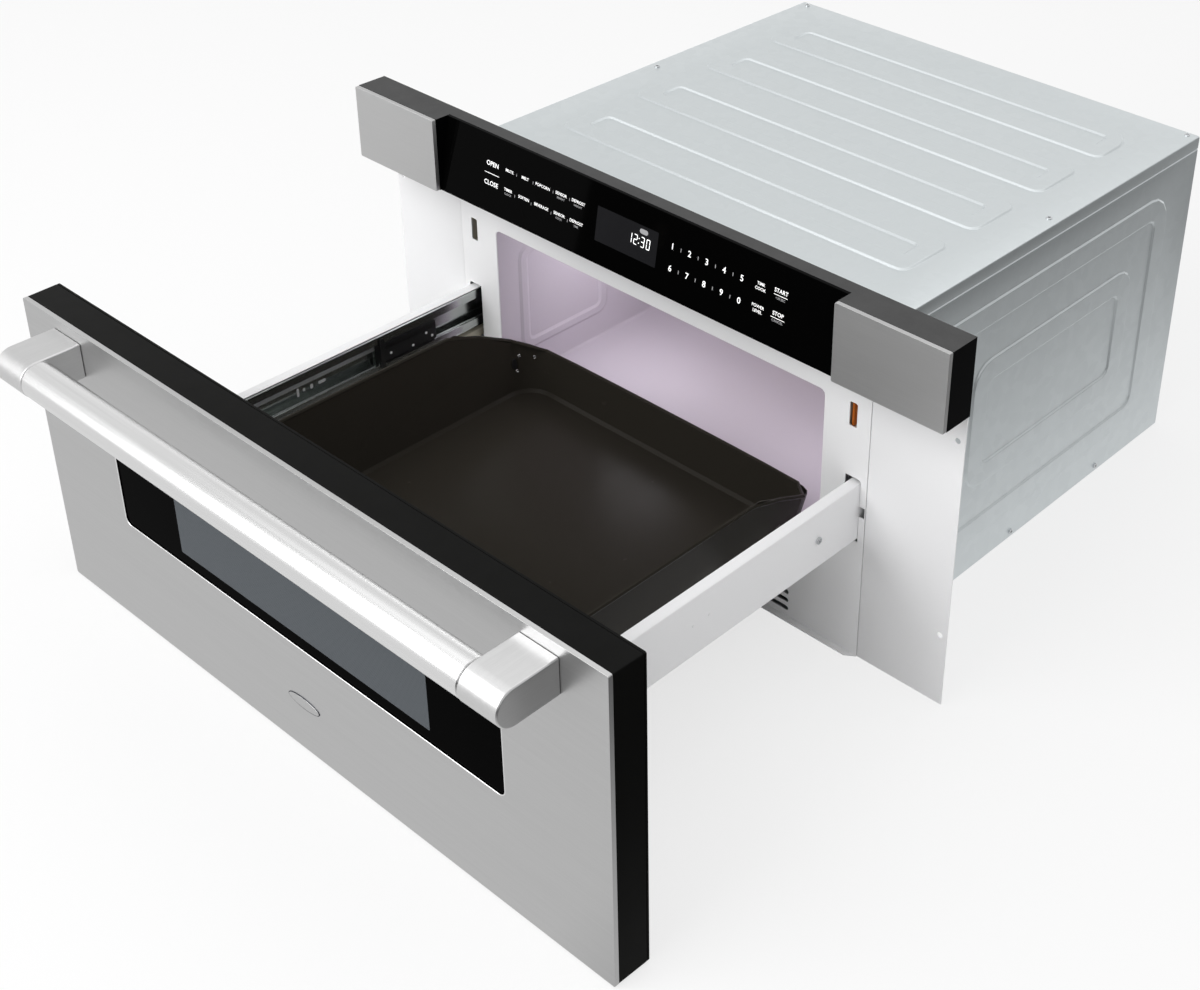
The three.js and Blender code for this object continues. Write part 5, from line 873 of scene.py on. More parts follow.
# the print is not lit: its glow is painted brightness
PRINT_WITH_PAINTED_GLOW = Printed("white_print_painted_glow", tone("f4f4f4"), 0.5, glow=0.6)
FAINT_PRINT_WITH_PAINTED_GLOW = Printed("faint_print_painted_glow", tone("a0a0a2"), 0.5, glow=0.15)
SEGMENT = Printed("lit_segment", tone("ffffff"), 0.4, glow=0.7)
BUFFER_BLACK = Coated("runner_black_plastic", tone("0a0a0b"), 0.4, skin=900.0, cloud=0.15)
ORANGE = Coated("orange_lever", tone("dc7420"), 0.45, skin=900.0, cloud=0.06)
IVORY = Coated("ivory_nylon", tone("ddd6c4"), 0.5, skin=800.0, cloud=0.04)
MICA = Coated("mica_sheet", tone("cfc3a8"), 0.6, skin=240.0, depth=0.0001, cloud=0.16)
COPPER = Brushed("copper_winding", tone("b4602c"), 0.35, 1.0, stretch=(40.0, 40.0, 900.0),
                 depth=0.0002)
LAMINATION = Brushed("core_lamination", tone("6c6f74"), 0.5, 0.85, stretch=(40.0, 1500.0, 40.0),
                     depth=0.00015)
BOARD = Perforated("board_laminate", tone("255a33"), 0.5, pitch=0.00508, depth=0.0002,
                   hole=tone("aab0a8"), reach=0.1)
RUBBER = Coated("gland_rubber", tone("1a1a1b"), 0.7, skin=1100.0, depth=0.00008, cloud=0.15)


# ------------------------------------------------------------------------------- shared parts


class Shop:
    """Dresses CAD nodes and makes finer copies of those that are seen close."""

    MERGE = 0.000002
    FLAT = math.radians(0.4)

    def __init__(self, frame: dict) -> None:
        """Keeps the frame and looks up each node's body and slot.
        """
        self.nodes = frame["nodes"]
        groups = frame["record"]["behaviour"]["bodies"]
        self.body = {node: body for body, members in groups.items() for node in members}
        self.slots = {part["node"]: part["material_slot"] for part in frame["record"]["subparts"]}

    def dress(self, finish: Finish, *names: str) -> None:
        """Gives CAD nodes a finish.

        Args:
            finish: The finish.
            *names: The nodes.
        """
        for name in names:
            for slot in self.nodes[name].material_slots:
                slot.material = finish.material()

    def refine(self, finish: Finish, width: float, *names: str, segments: int = 2,
               angle: float = 35) -> None:
        """Stands a merged and eased copy in for CAD nodes.

        Args:
            finish: The finish.
            width: Width of the rounding of the edges.
            *names: The nodes.
            segments: Segments of the rounding.
            angle: Edges sharper than this are rounded, in degrees.
        """
        for name in names:
            piece = Bench.copy(self.nodes[name], f"{name}_finished", Matrix.Identity(4))
            Bench.use(piece)
            bpy.ops.mesh.customdata_custom_splitnormals_clear()
            with Shaping(piece):
                bpy.ops.mesh.select_all(action="SELECT")
                bpy.ops.mesh.remove_doubles(threshold=Shop.MERGE)
                bpy.ops.mesh.dissolve_limited(angle_limit=Shop.FLAT)
            Bench.ease(piece, width, segments, angle)
            self.fit(piece, finish, self.body[name])
            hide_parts(name)

    def fit(self, piece: Piece, finish: Finish, body: str) -> None:
        """Gives a new piece its finish and body, and reports it.

        Args:
            piece: The piece.
            finish: Its finish.
            body: The body that it rides on.
        """
        piece.data.materials.clear()
        piece.data.materials.append(finish.material())
        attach(piece, body)
        LOG.info("%s: %d faces on %s", piece.name, len(piece.data.polygons), body)


@dataclass(frozen=True)
class Stud:
    """A round head, such as a rivet's, with an eased edge. It may be oval."""

    radius: float
    height: float
    sides: int = 24
    edge: float = 0.5 * MM
    stretch: Point = (1.0, 1.0, 1.0)

    def head(self) -> Piece:
        """Models the head once, standing on z = 0.

        Returns:
            The head.
        """
        head = Bench.drum("stud", self.radius, self.height, self.sides)
        head.scale = self.stretch
        Bench.settle(head)
        Bench.ease(head, self.edge, segments=3)
        return head

    def turn(self, index: int) -> float:
        """How far a head in a row is turned: not at all."""
        return 0.0

    def row(self, name: str, spots: Sequence[Spot]) -> Piece:
        """Copies the head to several places as one piece.

        Args:
            name: The piece's name.
            spots: Place and outward direction of each head.

        Returns:
            The piece.
        """
        head = self.head()
        copies = [Bench.copy(head, name, Bench.spin(place, outwards, self.turn(index)))
                  for index, (place, outwards) in enumerate(spots)]
        bpy.data.objects.remove(head)
        return Bench.join(name, copies)


@dataclass(frozen=True)
class Screw(Stud):
    """A pan-head screw with a cross recess. The shares are of its radius or height."""

    sides: int = 28
    rim: float = 0.3
    rise: float = 0.18
    recess: float = 0.62
    recess_floor: float = 0.35
    slot_width: float = 0.9 * MM
    rounding: float = 0.09

    def head(self) -> Piece:
        """Models the head once, standing on z = 0.

        Returns:
            The head.
        """
        head = Bench.drum("screw_head", self.radius, self.height, self.sides)
        with Shaping(head) as shape:
            shape.faces(lambda centre, normal: normal.z > ALONG)
            bpy.ops.mesh.inset(thickness=self.radius * self.rim)
            bpy.ops.transform.translate(value=(0, 0, self.height * self.rise))
        arm = self.radius * self.recess
        for turn in (0.0, math.pi / 2):
            cutter = Bench.block(
                "recess", (-arm, -self.slot_width / 2, self.height * self.recess_floor),
                (arm, self.slot_width / 2, self.height * 2))
            cutter.rotation_euler.z = turn
            Bench.settle(cutter)
            Bench.carve(head, cutter)
        Bench.ease(head, self.radius * self.rounding, angle=30)
        return head

    def turn(self, index: int) -> float:
        """How far a screw in a row is turned, so that no two recesses line up."""
        return GOLDEN_ANGLE * index


# -------------------------------------------------------------------------------- the studio


@dataclass
class Studio:
    """Floor, world, lamps and the camera. A ramp is its start and end and the value at each."""

    floor_reach: float = 14.0
    floor_drop: float = 0.0002
    floor_colour: Colour = (0.84, 0.84, 0.84)
    floor_roughness: float = 0.9
    floor_specular: float = 0.1
    floor_lit: float = 0.72
    floor_right: Ramp = (0.3, 0.8, 0.78, 0.08)
    floor_behind: Ramp = (0.9, 1.8, 1.0, 3.2)
    room_strength: float = 0.55
    overhead: Ramp = (0.12, 0.8, 1.0, 0.66)
    right_side: Ramp = (-0.1, 0.9, 1.0, 0.6)
    focal_pixels: float = 1889.3
    sensor: float = 36.0
    picture: tuple[int, int] = (1200, 990)
    principal: Pair = (774.1, 310.8)
    azimuth: float = 40.002
    elevation: float = 30.525
    roll: float = 1.827
    eye: Point = (1.1023, -1.4017, 1.2055)
    aim: Point = (0, -0.15, 0.2)
    lamps: tuple[tuple[str, Point, float, float], ...] = (
        ("key_softbox", (-0.9, -3.2, 2.2), 3.4, 104.0),
        ("top_softbox", (0.2, 0.2, 3.3), 5.0, 42.0),
        ("fill_softbox", (3.0, -1.2, 1.6), 2.0, 2.0))
    oven_lights: tuple[tuple[Point, float], ...] = (
        ((-0.12, -0.15, 0.25), 0.4), ((0.13, -0.13, 0.25), 0.24))
    oven_light_radius: float = 0.06
    oven_light_colour: Colour = (0.97, 0.97, 1.0)

    def build(self) -> None:
        """Builds the whole studio."""
        self.floor()
        self.world()
        for name, place, side, power in self.lamps:
            self.lamp(name, Vector(place), side, power)
        for place, power in self.oven_lights:
            self.oven_light(Vector(place), power)
        self.camera()
        bpy.context.scene.view_settings.view_transform = "Standard"

    def floor(self) -> None:
        """A pale floor that keeps the shadow, brightened for the camera."""
        Bench.deselect()
        bpy.ops.mesh.primitive_plane_add(size=2 * self.floor_reach,
                                         location=(0, 0, -self.floor_drop))
        floor = Bench.name(bpy.context.object, "studio_floor")
        Bench.settle(floor)
        material = bpy.data.materials.new("pale_floor")
        material.use_nodes = True
        graph = Graph(material.node_tree)
        paper = graph.feed(graph.node("ShaderNodeBsdfPrincipled"),
                           Roughness=self.floor_roughness, Base_Color=self.floor_colour,
                           Specular_IOR_Level=self.floor_specular)
        glow = graph.feed(graph.node("ShaderNodeEmission"), Strength=1.0)
        rays = graph.node("ShaderNodeLightPath").outputs
        seen = graph.maths("MULTIPLY", rays["Is Camera Ray"], self.floor_lit)
        across, along, _ = graph.split(graph.node("ShaderNodeTexCoord").outputs["Object"])
        sheen = graph.maths("MULTIPLY", graph.ramp(across, *self.floor_right),
                            graph.ramp(along, *self.floor_behind))
        mirror = graph.feed(graph.node("ShaderNodeEmission"), Strength=sheen)
        whole = graph.shift(rays["Is Glossy Ray"], graph.shift(seen, paper, glow), mirror)
        graph.fill(graph.node("ShaderNodeOutputMaterial"), (whole.outputs[0],))
        floor.data.materials.append(material)

    def world(self) -> None:
        """A soft white room, seen as white behind the object."""
        world = bpy.data.worlds.new("studio_room")
        bpy.context.scene.world = world
        world.use_nodes = True
        graph = Graph(world.node_tree)
        soft = graph.feed(graph.node("ShaderNodeBackground"), Color=WHITE,
                          Strength=self.room_strength)
        across, _, up = graph.split(graph.node("ShaderNodeTexCoord").outputs["Generated"])
        rays = graph.node("ShaderNodeLightPath").outputs
        shaded = graph.maths("MULTIPLY", graph.ramp(up, *self.overhead),
                             graph.ramp(across, *self.right_side))
        light = graph.maths("MAXIMUM", rays["Is Camera Ray"], shaded)
        white = graph.feed(graph.node("ShaderNodeBackground"),
                           Color=graph.blend(light, BLACK, WHITE))
        seen = graph.maths("MAXIMUM", rays["Is Camera Ray"], rays["Is Glossy Ray"])
        through = graph.maths("MAXIMUM", seen, rays["Is Transmission Ray"])
        room = graph.shift(through, soft, white)
        graph.fill(graph.node("ShaderNodeOutputWorld"), (room.outputs[0],))

    def lamp(self, name: str, place: Vector, side: float, power: float) -> None:
        """A square softbox that looks at the object.

        Args:
            name: Its name.
            place: Where it hangs.
            side: Its side.
            power: Its power in watts.
        """
        data = bpy.data.lights.new(name, "AREA")
        data.shape, data.size, data.energy = "SQUARE", side, power
        lamp = bpy.data.objects.new(name, data)
        lamp.location = place
        lamp.rotation_euler = (Vector(self.aim) - place).to_track_quat("-Z", "Y").to_euler()
        bpy.context.scene.collection.objects.link(lamp)

    def oven_light(self, place: Vector, power: float) -> None:
        """A soft light inside the oven.

        Args:
            place: Where it hangs.
            power: Its power in watts.
        """
        data = bpy.data.lights.new("oven_light", "POINT")
        data.energy, data.shadow_soft_size = power, self.oven_light_radius
        data.color = self.oven_light_colour
        lamp = bpy.data.objects.new("oven_light", data)
        lamp.location = place
        bpy.context.scene.collection.objects.link(lamp)

    def camera(self) -> None:
        """The camera, at the photograph's viewing angle."""
        width, height = self.picture
        data = bpy.data.cameras.new("studio_camera")
        data.sensor_fit, data.sensor_width = "HORIZONTAL", self.sensor
        data.lens = self.focal_pixels / width * data.sensor_width
        data.shift_x = (width / 2 - self.principal[0]) / width
        data.shift_y = (self.principal[1] - height / 2) / width
        azimuth, elevation, roll = map(math.radians, (self.azimuth, self.elevation, self.roll))
        back = Vector((math.sin(azimuth) * math.cos(elevation),
                       -math.cos(azimuth) * math.cos(elevation), math.sin(elevation)))
        right = (-back).cross(Vector((0, 0, 1))).normalized()
        up = right.cross(-back)
        level = right * math.cos(roll) + up * math.sin(roll)
        upright = up * math.cos(roll) - right * math.sin(roll)
        camera = bpy.data.objects.new("studio_camera", data)
        turn = Matrix((level, upright, back)).transposed().to_4x4()
        camera.matrix_world = Matrix.Translation(Vector(self.eye)) @ turn
        bpy.context.scene.collection.objects.link(camera)
        bpy.context.scene.camera = camera


# -------------------------------------------------------------------------------- the cabinet


@dataclass
class Cabinet:
    """The zinc-coated case with its screws and cord gland."""

    front: float
    screw: Screw = Screw(3.0 * MM, 1.6 * MM)
    seam_drop: float = 2.4 * MM
    seam_inset: float = 10 * MM
    seam_screws: Pair = mm(283, 544)
    side_proud: float = 1.3 * MM
    side_screws: tuple[Pair, ...] = (mm(257, 8), mm(420, 8))
    back_screws: tuple[Pair, ...] = (
        mm(264, 40), mm(264, 190), mm(264, 318), mm(120, 357), mm(120, 6))

    def build(self, shop: Shop) -> None:
        """Dresses the sheets and adds the screws.

        Args:
            shop: Where nodes are dressed.
        """
        shop.refine(ZINC_SHEET, 0.9 * MM, "cabinet_top", "cabinet_side_right", "cabinet_side_left",
                    angle=28)
        shop.refine(ZINC_SHEET, 0.2 * MM, "cabinet_back", "cabinet_base", segments=1)
        shop.refine(RUBBER, 0.4 * MM, "cord_gland")
        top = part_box("cabinet_top")[1]
        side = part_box("cabinet_base")[1].x
        up, rearwards = Vector((0, 0, 1)), Vector((0, 1, 0))
        spots = []
        for _, hand in SIDES:
            seam, wall = hand * (side - self.seam_inset), hand * (side + self.side_proud)
            spots += [(Vector((seam, self.front + y, top.z - self.seam_drop)), up)
                      for y in self.seam_screws]
            spots += [(Vector((wall, self.front + y, z)), Vector((hand, 0, 0)))
                      for y, z in self.side_screws]
            spots += [(Vector((hand * x, top.y, z)), rearwards) for x, z in self.back_screws]
        shop.fit(self.screw.row("cabinet_screws", spots), PLATED, "chassis")


@dataclass
class FrontFrame:
    """The white front frame and its two mounting flaps."""

    edge: float = 0.35 * MM

    def build(self, shop: Shop) -> None:
        """Dresses frame and flaps."""
        shop.refine(WHITE_PAINT, self.edge, "front_frame", "flap_right", "flap_left")


@dataclass
class Oven:
    """The oven liner with its ceiling cover, stirrer, lamp and waveguide."""

    def build(self, shop: Shop) -> None:
        """Dresses the oven.

        Args:
            shop: Where nodes are dressed.
        """
        shop.refine(OVEN_PAINT, 0.5 * MM, "cavity_liner", angle=25)
        shop.refine(MICA, 0.6 * MM, "stirrer_cover")
        shop.dress(ZINC_SHEET, "waveguide")
        shop.dress(RUNNER_ZINC, "mode_stirrer", "stirrer_motor")
        shop.refine(IVORY, 0.3 * MM, "cavity_lamp", segments=1)


@dataclass
class MachineBay:
    """Magnetron, transformer, capacitor, fan and power board behind the oven."""

    def build(self, shop: Shop) -> None:
        """Dresses the machinery.

        Args:
            shop: Where nodes are dressed.
        """
        shop.dress(RUNNER_ZINC, "magnetron")
        shop.refine(PLATED, 0.8 * MM, "hv_capacitor")
        shop.dress(LAMINATION, "transformer_core", "fan_motor")
        shop.refine(COPPER, 0.8 * MM, "transformer_windings")
        shop.dress(ZINC_SHEET, "fan_shroud")
        shop.refine(BUFFER_BLACK, 0.3 * MM, "fan_rotor", segments=1)
        shop.dress(BOARD, "power_board", "control_board")


# -------------------------------------------------------------------------- the control panel


class Segment(Enum):
    """The seven bars of a clock digit: centre in half widths and half heights, and if upright."""

    TOP = (0, 2, False)
    HIGH_RIGHT = (1, 1, True)
    LOW_RIGHT = (1, -1, True)
    BOTTOM = (0, -2, False)
    LOW_LEFT = (-1, -1, True)
    HIGH_LEFT = (-1, 1, True)
    MIDDLE = (0, 0, False)


DIGIT_BARS: dict[str, str] = {
    "0": "TOP HIGH_RIGHT LOW_RIGHT BOTTOM LOW_LEFT HIGH_LEFT",
    "1": "HIGH_RIGHT LOW_RIGHT",
    "2": "TOP HIGH_RIGHT MIDDLE LOW_LEFT BOTTOM",
    "3": "TOP HIGH_RIGHT MIDDLE LOW_RIGHT BOTTOM",
}


@dataclass
class ControlPanel:
    """The leaning black glass with its print, its display and the steel ends.

    A word is its text, the place of its middle and its height, in millimetres, and a line is its
    place and width.
    """

    lean: float = math.atan2(13.7, 78.5)
    proud: float = 0.02 * MM
    ink: float = 0.03 * MM
    over_display: float = 0.06 * MM
    letter_size: float = 1.38
    letter_weight: float = 0.02
    bar_rounding: float = 0.45
    digit_height: float = 6.1 * MM
    digits: tuple[str, str] = ("12345", "67890")
    digit_rows: Pair = mm(377.5, 356.1)
    digit_first: float = 57 * MM
    digit_pitch: float = 21.2 * MM
    digit_divider: Pair = mm(0.8, 3.6)
    display_low: Pair = mm(-40.6, 350.0)
    display_high: Pair = mm(38.7, 384.4)
    display_corner: float = 0.8 * MM
    clock_middle: Pair = mm(15.4, 368.6)
    clock_height: float = 10.4 * MM
    clock_digit: float = 4.7 * MM
    clock_bar: float = 0.85 * MM
    clock_gap: float = 0.1 * MM
    clock_dot: float = 0.75
    clock_rounding: float = 0.42
    clock_slant: float = 0.03
    clock_places: tuple[tuple[float, str], ...] = (
        (-11.4 * MM, "1"), (-4.3 * MM, "2"), (4.7 * MM, "3"), (11.9 * MM, "0"))
    sign: Area = mm(20.5, 378.9, 10.5, 4.8)
    words: tuple[Word, ...] = (
        ("OPEN", -187, 377.4, 4.9), ("CLOSE", -187, 357.6, 4.9),
        ("MUTE", -162.6, 378, 3.1), ("MELT", -140.3, 378, 3.1), ("POPCORN", -115.6, 378, 3.1),
        ("SENSOR", -90, 378.5, 3.1), ("DEFROST", -66.5, 378.5, 3.1),
        ("TIMER", -162.3, 358.5, 3.1), ("SOFTEN", -139.8, 357.8, 3.1),
        ("BEVERAGE", -115, 357.8, 3.1), ("SENSOR", -90, 358.2, 3.1), ("DEFROST", -66.5, 358.2, 3.1),
        ("TIME", 164, 380.2, 3.0), ("COOK", 164, 375.4, 3.0),
        ("POWER", 164, 359.0, 3.0), ("LEVEL", 164, 354.3, 3.0),
        ("START", 187.5, 381.2, 3.9), ("STOP", 187.5, 359.8, 3.9))
    faint_words: tuple[Word, ...] = (
        ("REHEAT", -90, 374.2, 2.1), ("WEIGHT", -66.5, 374.2, 2.1),
        ("CLOCK", -162.3, 354.2, 2.1), ("COOK", -90, 354, 2.1), ("TIME", -66.5, 354, 2.1),
        ("+30 SEC", 187.5, 374.2, 2.3), ("CANCEL", 187.5, 353.1, 2.4))
    lines: tuple[Point, ...] = ((-187, 367.6, 21), (187.5, 377.2, 16), (187.5, 355.9, 16))
    line_height: float = 0.6
    dividers: tuple[float, ...] = (-152.4, -129, -101, -78.3)
    divider: Pair = mm(0.6, 3)

    def spot(self, x: float, z: float, lift: float = 0.0) -> Matrix:
        """A place on the face of the leaning glass.

        Args:
            x: Place from left to right.
            z: Height.
            lift: Distance in front of the glass.

        Returns:
            The matrix, with its x to the right, y up the glass and z out of it.
        """
        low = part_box("control_glass")[0]
        up = Vector((0, math.sin(self.lean), math.cos(self.lean)))
        out = Vector((0, -math.cos(self.lean), math.sin(self.lean)))
        foot = Vector((x, low.y + (z - low.z) * math.tan(self.lean), z))
        turn = Matrix((Vector((1, 0, 0)), up, out)).transposed().to_4x4()
        return Matrix.Translation(foot + out * (self.proud + lift)) @ turn

    def text(self, word: str, height: float, place: Matrix) -> Piece:
        """A word or number as a thin print.

        Args:
            word: What it says.
            height: Height of its letters.
            place: Where its middle goes.

        Returns:
            The print.
        """
        Bench.deselect()
        bpy.ops.object.text_add()
        letters = bpy.context.object.data
        letters.body = word
        letters.size = height * self.letter_size
        letters.align_x, letters.align_y = "CENTER", "CENTER"
        letters.extrude = self.ink / 2
        letters.offset = self.letter_weight * height
        letters.resolution_u = 3
        bpy.ops.object.convert(target="MESH")
        piece = bpy.context.object
        piece.data.transform(place)
        return Bench.name(piece, f"print_{word}")

    def panel(self, name: str, width: float, height: float, corner: float) -> Piece:
        """A flat plate of ink, round the origin, with rounded corners.

        Args:
            name: Its name.
            width: Its width.
            height: Its height.
            corner: Radius of its corners.

        Returns:
            The plate.
        """
        piece = Bench.block(name, (-width / 2, -height / 2, 0), (width / 2, height / 2, self.ink))
        Bench.round_corners(piece, Axis.Z, corner, segments=3)
        return piece

    def bar(self, width: float, height: float, place: Matrix) -> Piece:
        """A thin printed bar with rounded ends.

        Args:
            width: Its width.
            height: Its height.
            place: Where its middle goes.

        Returns:
            The bar.
        """
        piece = self.panel("print_bar", width, height, min(width, height) * self.bar_rounding)
        piece.data.transform(place)
        return piece

    def clock(self) -> Piece:
        """The clock's lit segments.

        Returns:
            The piece.
        """
        thick = self.clock_bar
        half_wide = (self.clock_digit - thick) / 2
        half_high = (self.clock_height - thick) / 4
        slant = Matrix.Identity(4)
        slant[0][1] = self.clock_slant
        tall, wide = half_high - self.clock_gap, half_wide - self.clock_gap
        upright = Bench.block("segment", (-thick / 2, -tall, 0), (thick / 2, tall, self.ink))
        level = Bench.block("segment", (-wide, -thick / 2, 0), (wide, thick / 2, self.ink))
        for piece in (upright, level):
            Bench.round_corners(piece, Axis.Z, thick * self.clock_rounding, segments=2)
        face = self.spot(*self.clock_middle, self.over_display) @ slant
        parts = []
        for place, digit in self.clock_places:
            for across, along, stands in (Segment[bar].value for bar in DIGIT_BARS[digit].split()):
                at = Matrix.Translation((place + across * half_wide, along * half_high, 0))
                parts.append(Bench.copy(upright if stands else level, "segment", face @ at))
        dot = Bench.drum("segment", thick * self.clock_dot, self.ink, sides=16)
        for height in (-half_high, half_high):
            at = Matrix.Translation((0, height, 0))
            parts.append(Bench.copy(dot, "segment", face @ at))
        for source in (upright, level, dot):
            bpy.data.objects.remove(source)
        return Bench.join("clock_segments", parts)

    def display(self) -> Piece:
        """The smoked window of the display.

        Returns:
            The window.
        """
        (left, foot), (right, top) = self.display_low, self.display_high
        high = (top - foot) / math.cos(self.lean)
        pane = self.panel("display_window", right - left, high, self.display_corner)
        pane.data.transform(self.spot((left + right) / 2, (foot + top) / 2))
        return pane

    def prints(self) -> tuple[Piece, Piece]:
        """Numbers, key words, lines and dividers.

        Returns:
            The bright and the faint print.
        """
        bright, faint = [], []
        for digits, row in zip(self.digits, self.digit_rows):
            for i, digit in enumerate(digits):
                x = self.digit_first + i * self.digit_pitch
                bright.append(self.text(digit, self.digit_height, self.spot(x, row)))
                if i:
                    between = self.spot(x - self.digit_pitch / 2, row)
                    faint.append(self.bar(*self.digit_divider, between))
        for words, prints in ((self.words, bright), (self.faint_words, faint)):
            for word, x, z, height in words:
                prints.append(self.text(word, height * MM, self.spot(x * MM, z * MM)))
        for x, z, wide in self.lines:
            place = self.spot(x * MM, z * MM)
            bright.append(self.bar(wide * MM, self.line_height * MM, place))
        for x in self.dividers:
            for z in self.digit_rows:
                faint.append(self.bar(*self.divider, self.spot(x * MM, z)))
        x, z, wide, high = self.sign
        faint.append(self.bar(wide, high, self.spot(x, z, self.over_display)))
        return Bench.join("panel_print_bright", bright), Bench.join("panel_print_faint", faint)

    def build(self, shop: Shop) -> None:
        """Dresses the panel and adds print, display and clock.

        Args:
            shop: Where nodes are dressed.
        """
        shop.refine(PANEL_BLACK, 0.7 * MM, "control_housing")
        shop.refine(BLACK_GLASS, 0.3 * MM, "control_glass")
        shop.refine(STEEL_END, 0.5 * MM, "trim_end_right", "trim_end_left")
        shop.dress(DISPLAY, "display_module")
        shop.fit(self.display(), DISPLAY, "chassis")
        shop.fit(self.clock(), SEGMENT, "chassis")
        bright, faint = self.prints()
        shop.fit(bright, PRINT_WITH_PAINTED_GLOW, "chassis")
        shop.fit(faint, FAINT_PRINT_WITH_PAINTED_GLOW, "chassis")


# ----------------------------------------------------------------------------------- the door


@dataclass
class Door:
    """Steel face, black box, window, handle, bare badge plate and the choke panel."""

    window_low: Pair = mm(-261.5, 122.5)
    window_high: Pair = mm(261.5, 237.0)
    window_corner: float = 8 * MM
    bead: float = 0.7 * MM
    bead_sunk: float = 0.6
    badge_middle: Pair = mm(-3.2, 58.6)
    badge_size: Pair = mm(22.0, 6.6)
    badge_height: float = 0.7 * MM
    badge_line: float = 1.0 * MM
    badge_edge: float = 0.25 * MM
    rim_height: float = 0.7
    sight_low: Pair = mm(-171, 136)
    sight_high: Pair = mm(171, 222)
    sight_thickness: float = 0.2 * MM
    sight_corner: float = 1.2 * MM

    def window_edge(self) -> Piece:
        """The bright rolled edge of the window cut-out.

        Returns:
            The edge.
        """
        (left, foot), (right, top) = self.window_low, self.window_high
        Bench.deselect()
        bpy.ops.mesh.primitive_plane_add(size=1)
        ring = Bench.name(bpy.context.object, "window_edge")
        ring.scale = (right - left - self.bead, top - foot - self.bead, 1)
        Bench.settle(ring)
        with Shaping(ring) as shape:
            bpy.ops.mesh.select_mode(type="VERT")
            bpy.ops.mesh.select_all(action="SELECT")
            bpy.ops.mesh.bevel(offset=self.window_corner, segments=8, affect="VERTICES")
            shape.faces(lambda centre, normal: True)
            bpy.ops.mesh.delete(type="ONLY_FACE")
        bpy.ops.object.convert(target="CURVE")
        ring = bpy.context.object
        ring.data.dimensions = "3D"
        ring.data.bevel_depth = self.bead
        ring.data.bevel_resolution = 3
        bpy.ops.object.convert(target="MESH")
        ring = Bench.name(bpy.context.object, "window_edge")
        middle = Vector(((left + right) / 2,
                         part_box("door_skin")[0].y + self.bead * self.bead_sunk, (foot + top) / 2))
        ring.data.transform(Matrix.Translation(middle) @ Matrix.Rotation(math.pi / 2, 4, "X"))
        Bench.use(ring)
        bpy.ops.object.shade_smooth()
        return ring

    def oval(self, name: str, inset: float, height: float) -> Piece:
        """An oval plate with an eased rim in the badge's place.

        Args:
            name: The plate's name.
            inset: How far its edge lies inside the badge's.
            height: How far it stands out of the door's face.

        Returns:
            The plate.
        """
        plate = Bench.drum(name, 1.0, height, sides=72)
        plate.scale = (self.badge_size[0] - inset, self.badge_size[1] - inset, 1)
        Bench.settle(plate)
        with Shaping(plate) as shape:
            shape.edges(lambda middle, way: middle.z > height - HAIR)
            bpy.ops.mesh.bevel(offset=self.badge_edge, segments=3)
        Bench.smooth(plate, angle=40)
        x, z = self.badge_middle
        face = Vector((x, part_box("door_skin")[0].y, z))
        plate.data.transform(Bench.spin(face, Vector((0, -1, 0))))
        return plate

    def sight(self) -> Piece:
        """The clear field of the window, with the punched screen close behind it.

        Returns:
            The field.
        """
        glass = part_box("door_glass")[0].y
        (left, foot), (right, top) = self.sight_low, self.sight_high
        pane = Bench.block("window_sight", (left, glass - self.sight_thickness, foot),
                           (right, glass, top))
        Bench.round_corners(pane, Axis.Y, self.sight_corner, segments=3)
        return pane

    def build(self, shop: Shop) -> None:
        """Dresses the door and adds the window edge and the badge.

        Args:
            shop: Where nodes are dressed.
        """
        shop.refine(STEEL, 0.4 * MM, "door_skin")
        shop.refine(DOOR_BLACK, 0.6 * MM, "door_frame", "door_rear_cover")
        shop.refine(WINDOW_GLASS, 0.3 * MM, "door_glass")
        shop.dress(SCREEN, "door_screen")
        shop.refine(ENAMEL, 0.5 * MM, "door_inner_panel")
        shop.refine(STEEL_BAR, 0.3 * MM, "handle_bar")
        shop.refine(STEEL_BRACKET, 0.5 * MM, "handle_bracket_right", "handle_bracket_left",
                    angle=30)
        shop.fit(self.window_edge(), BRIGHT_EDGE, "drawer")
        shop.fit(self.sight(), WINDOW_SIGHT, "drawer")
        rim = self.oval("badge_rim", 0.0, self.badge_height * self.rim_height)
        shop.fit(rim, DARK_SCREW, "drawer")
        plate = self.oval("badge_field", self.badge_line, self.badge_height)
        shop.fit(plate, STEEL, "drawer")


# --------------------------------------------------------------------------------- the drawer


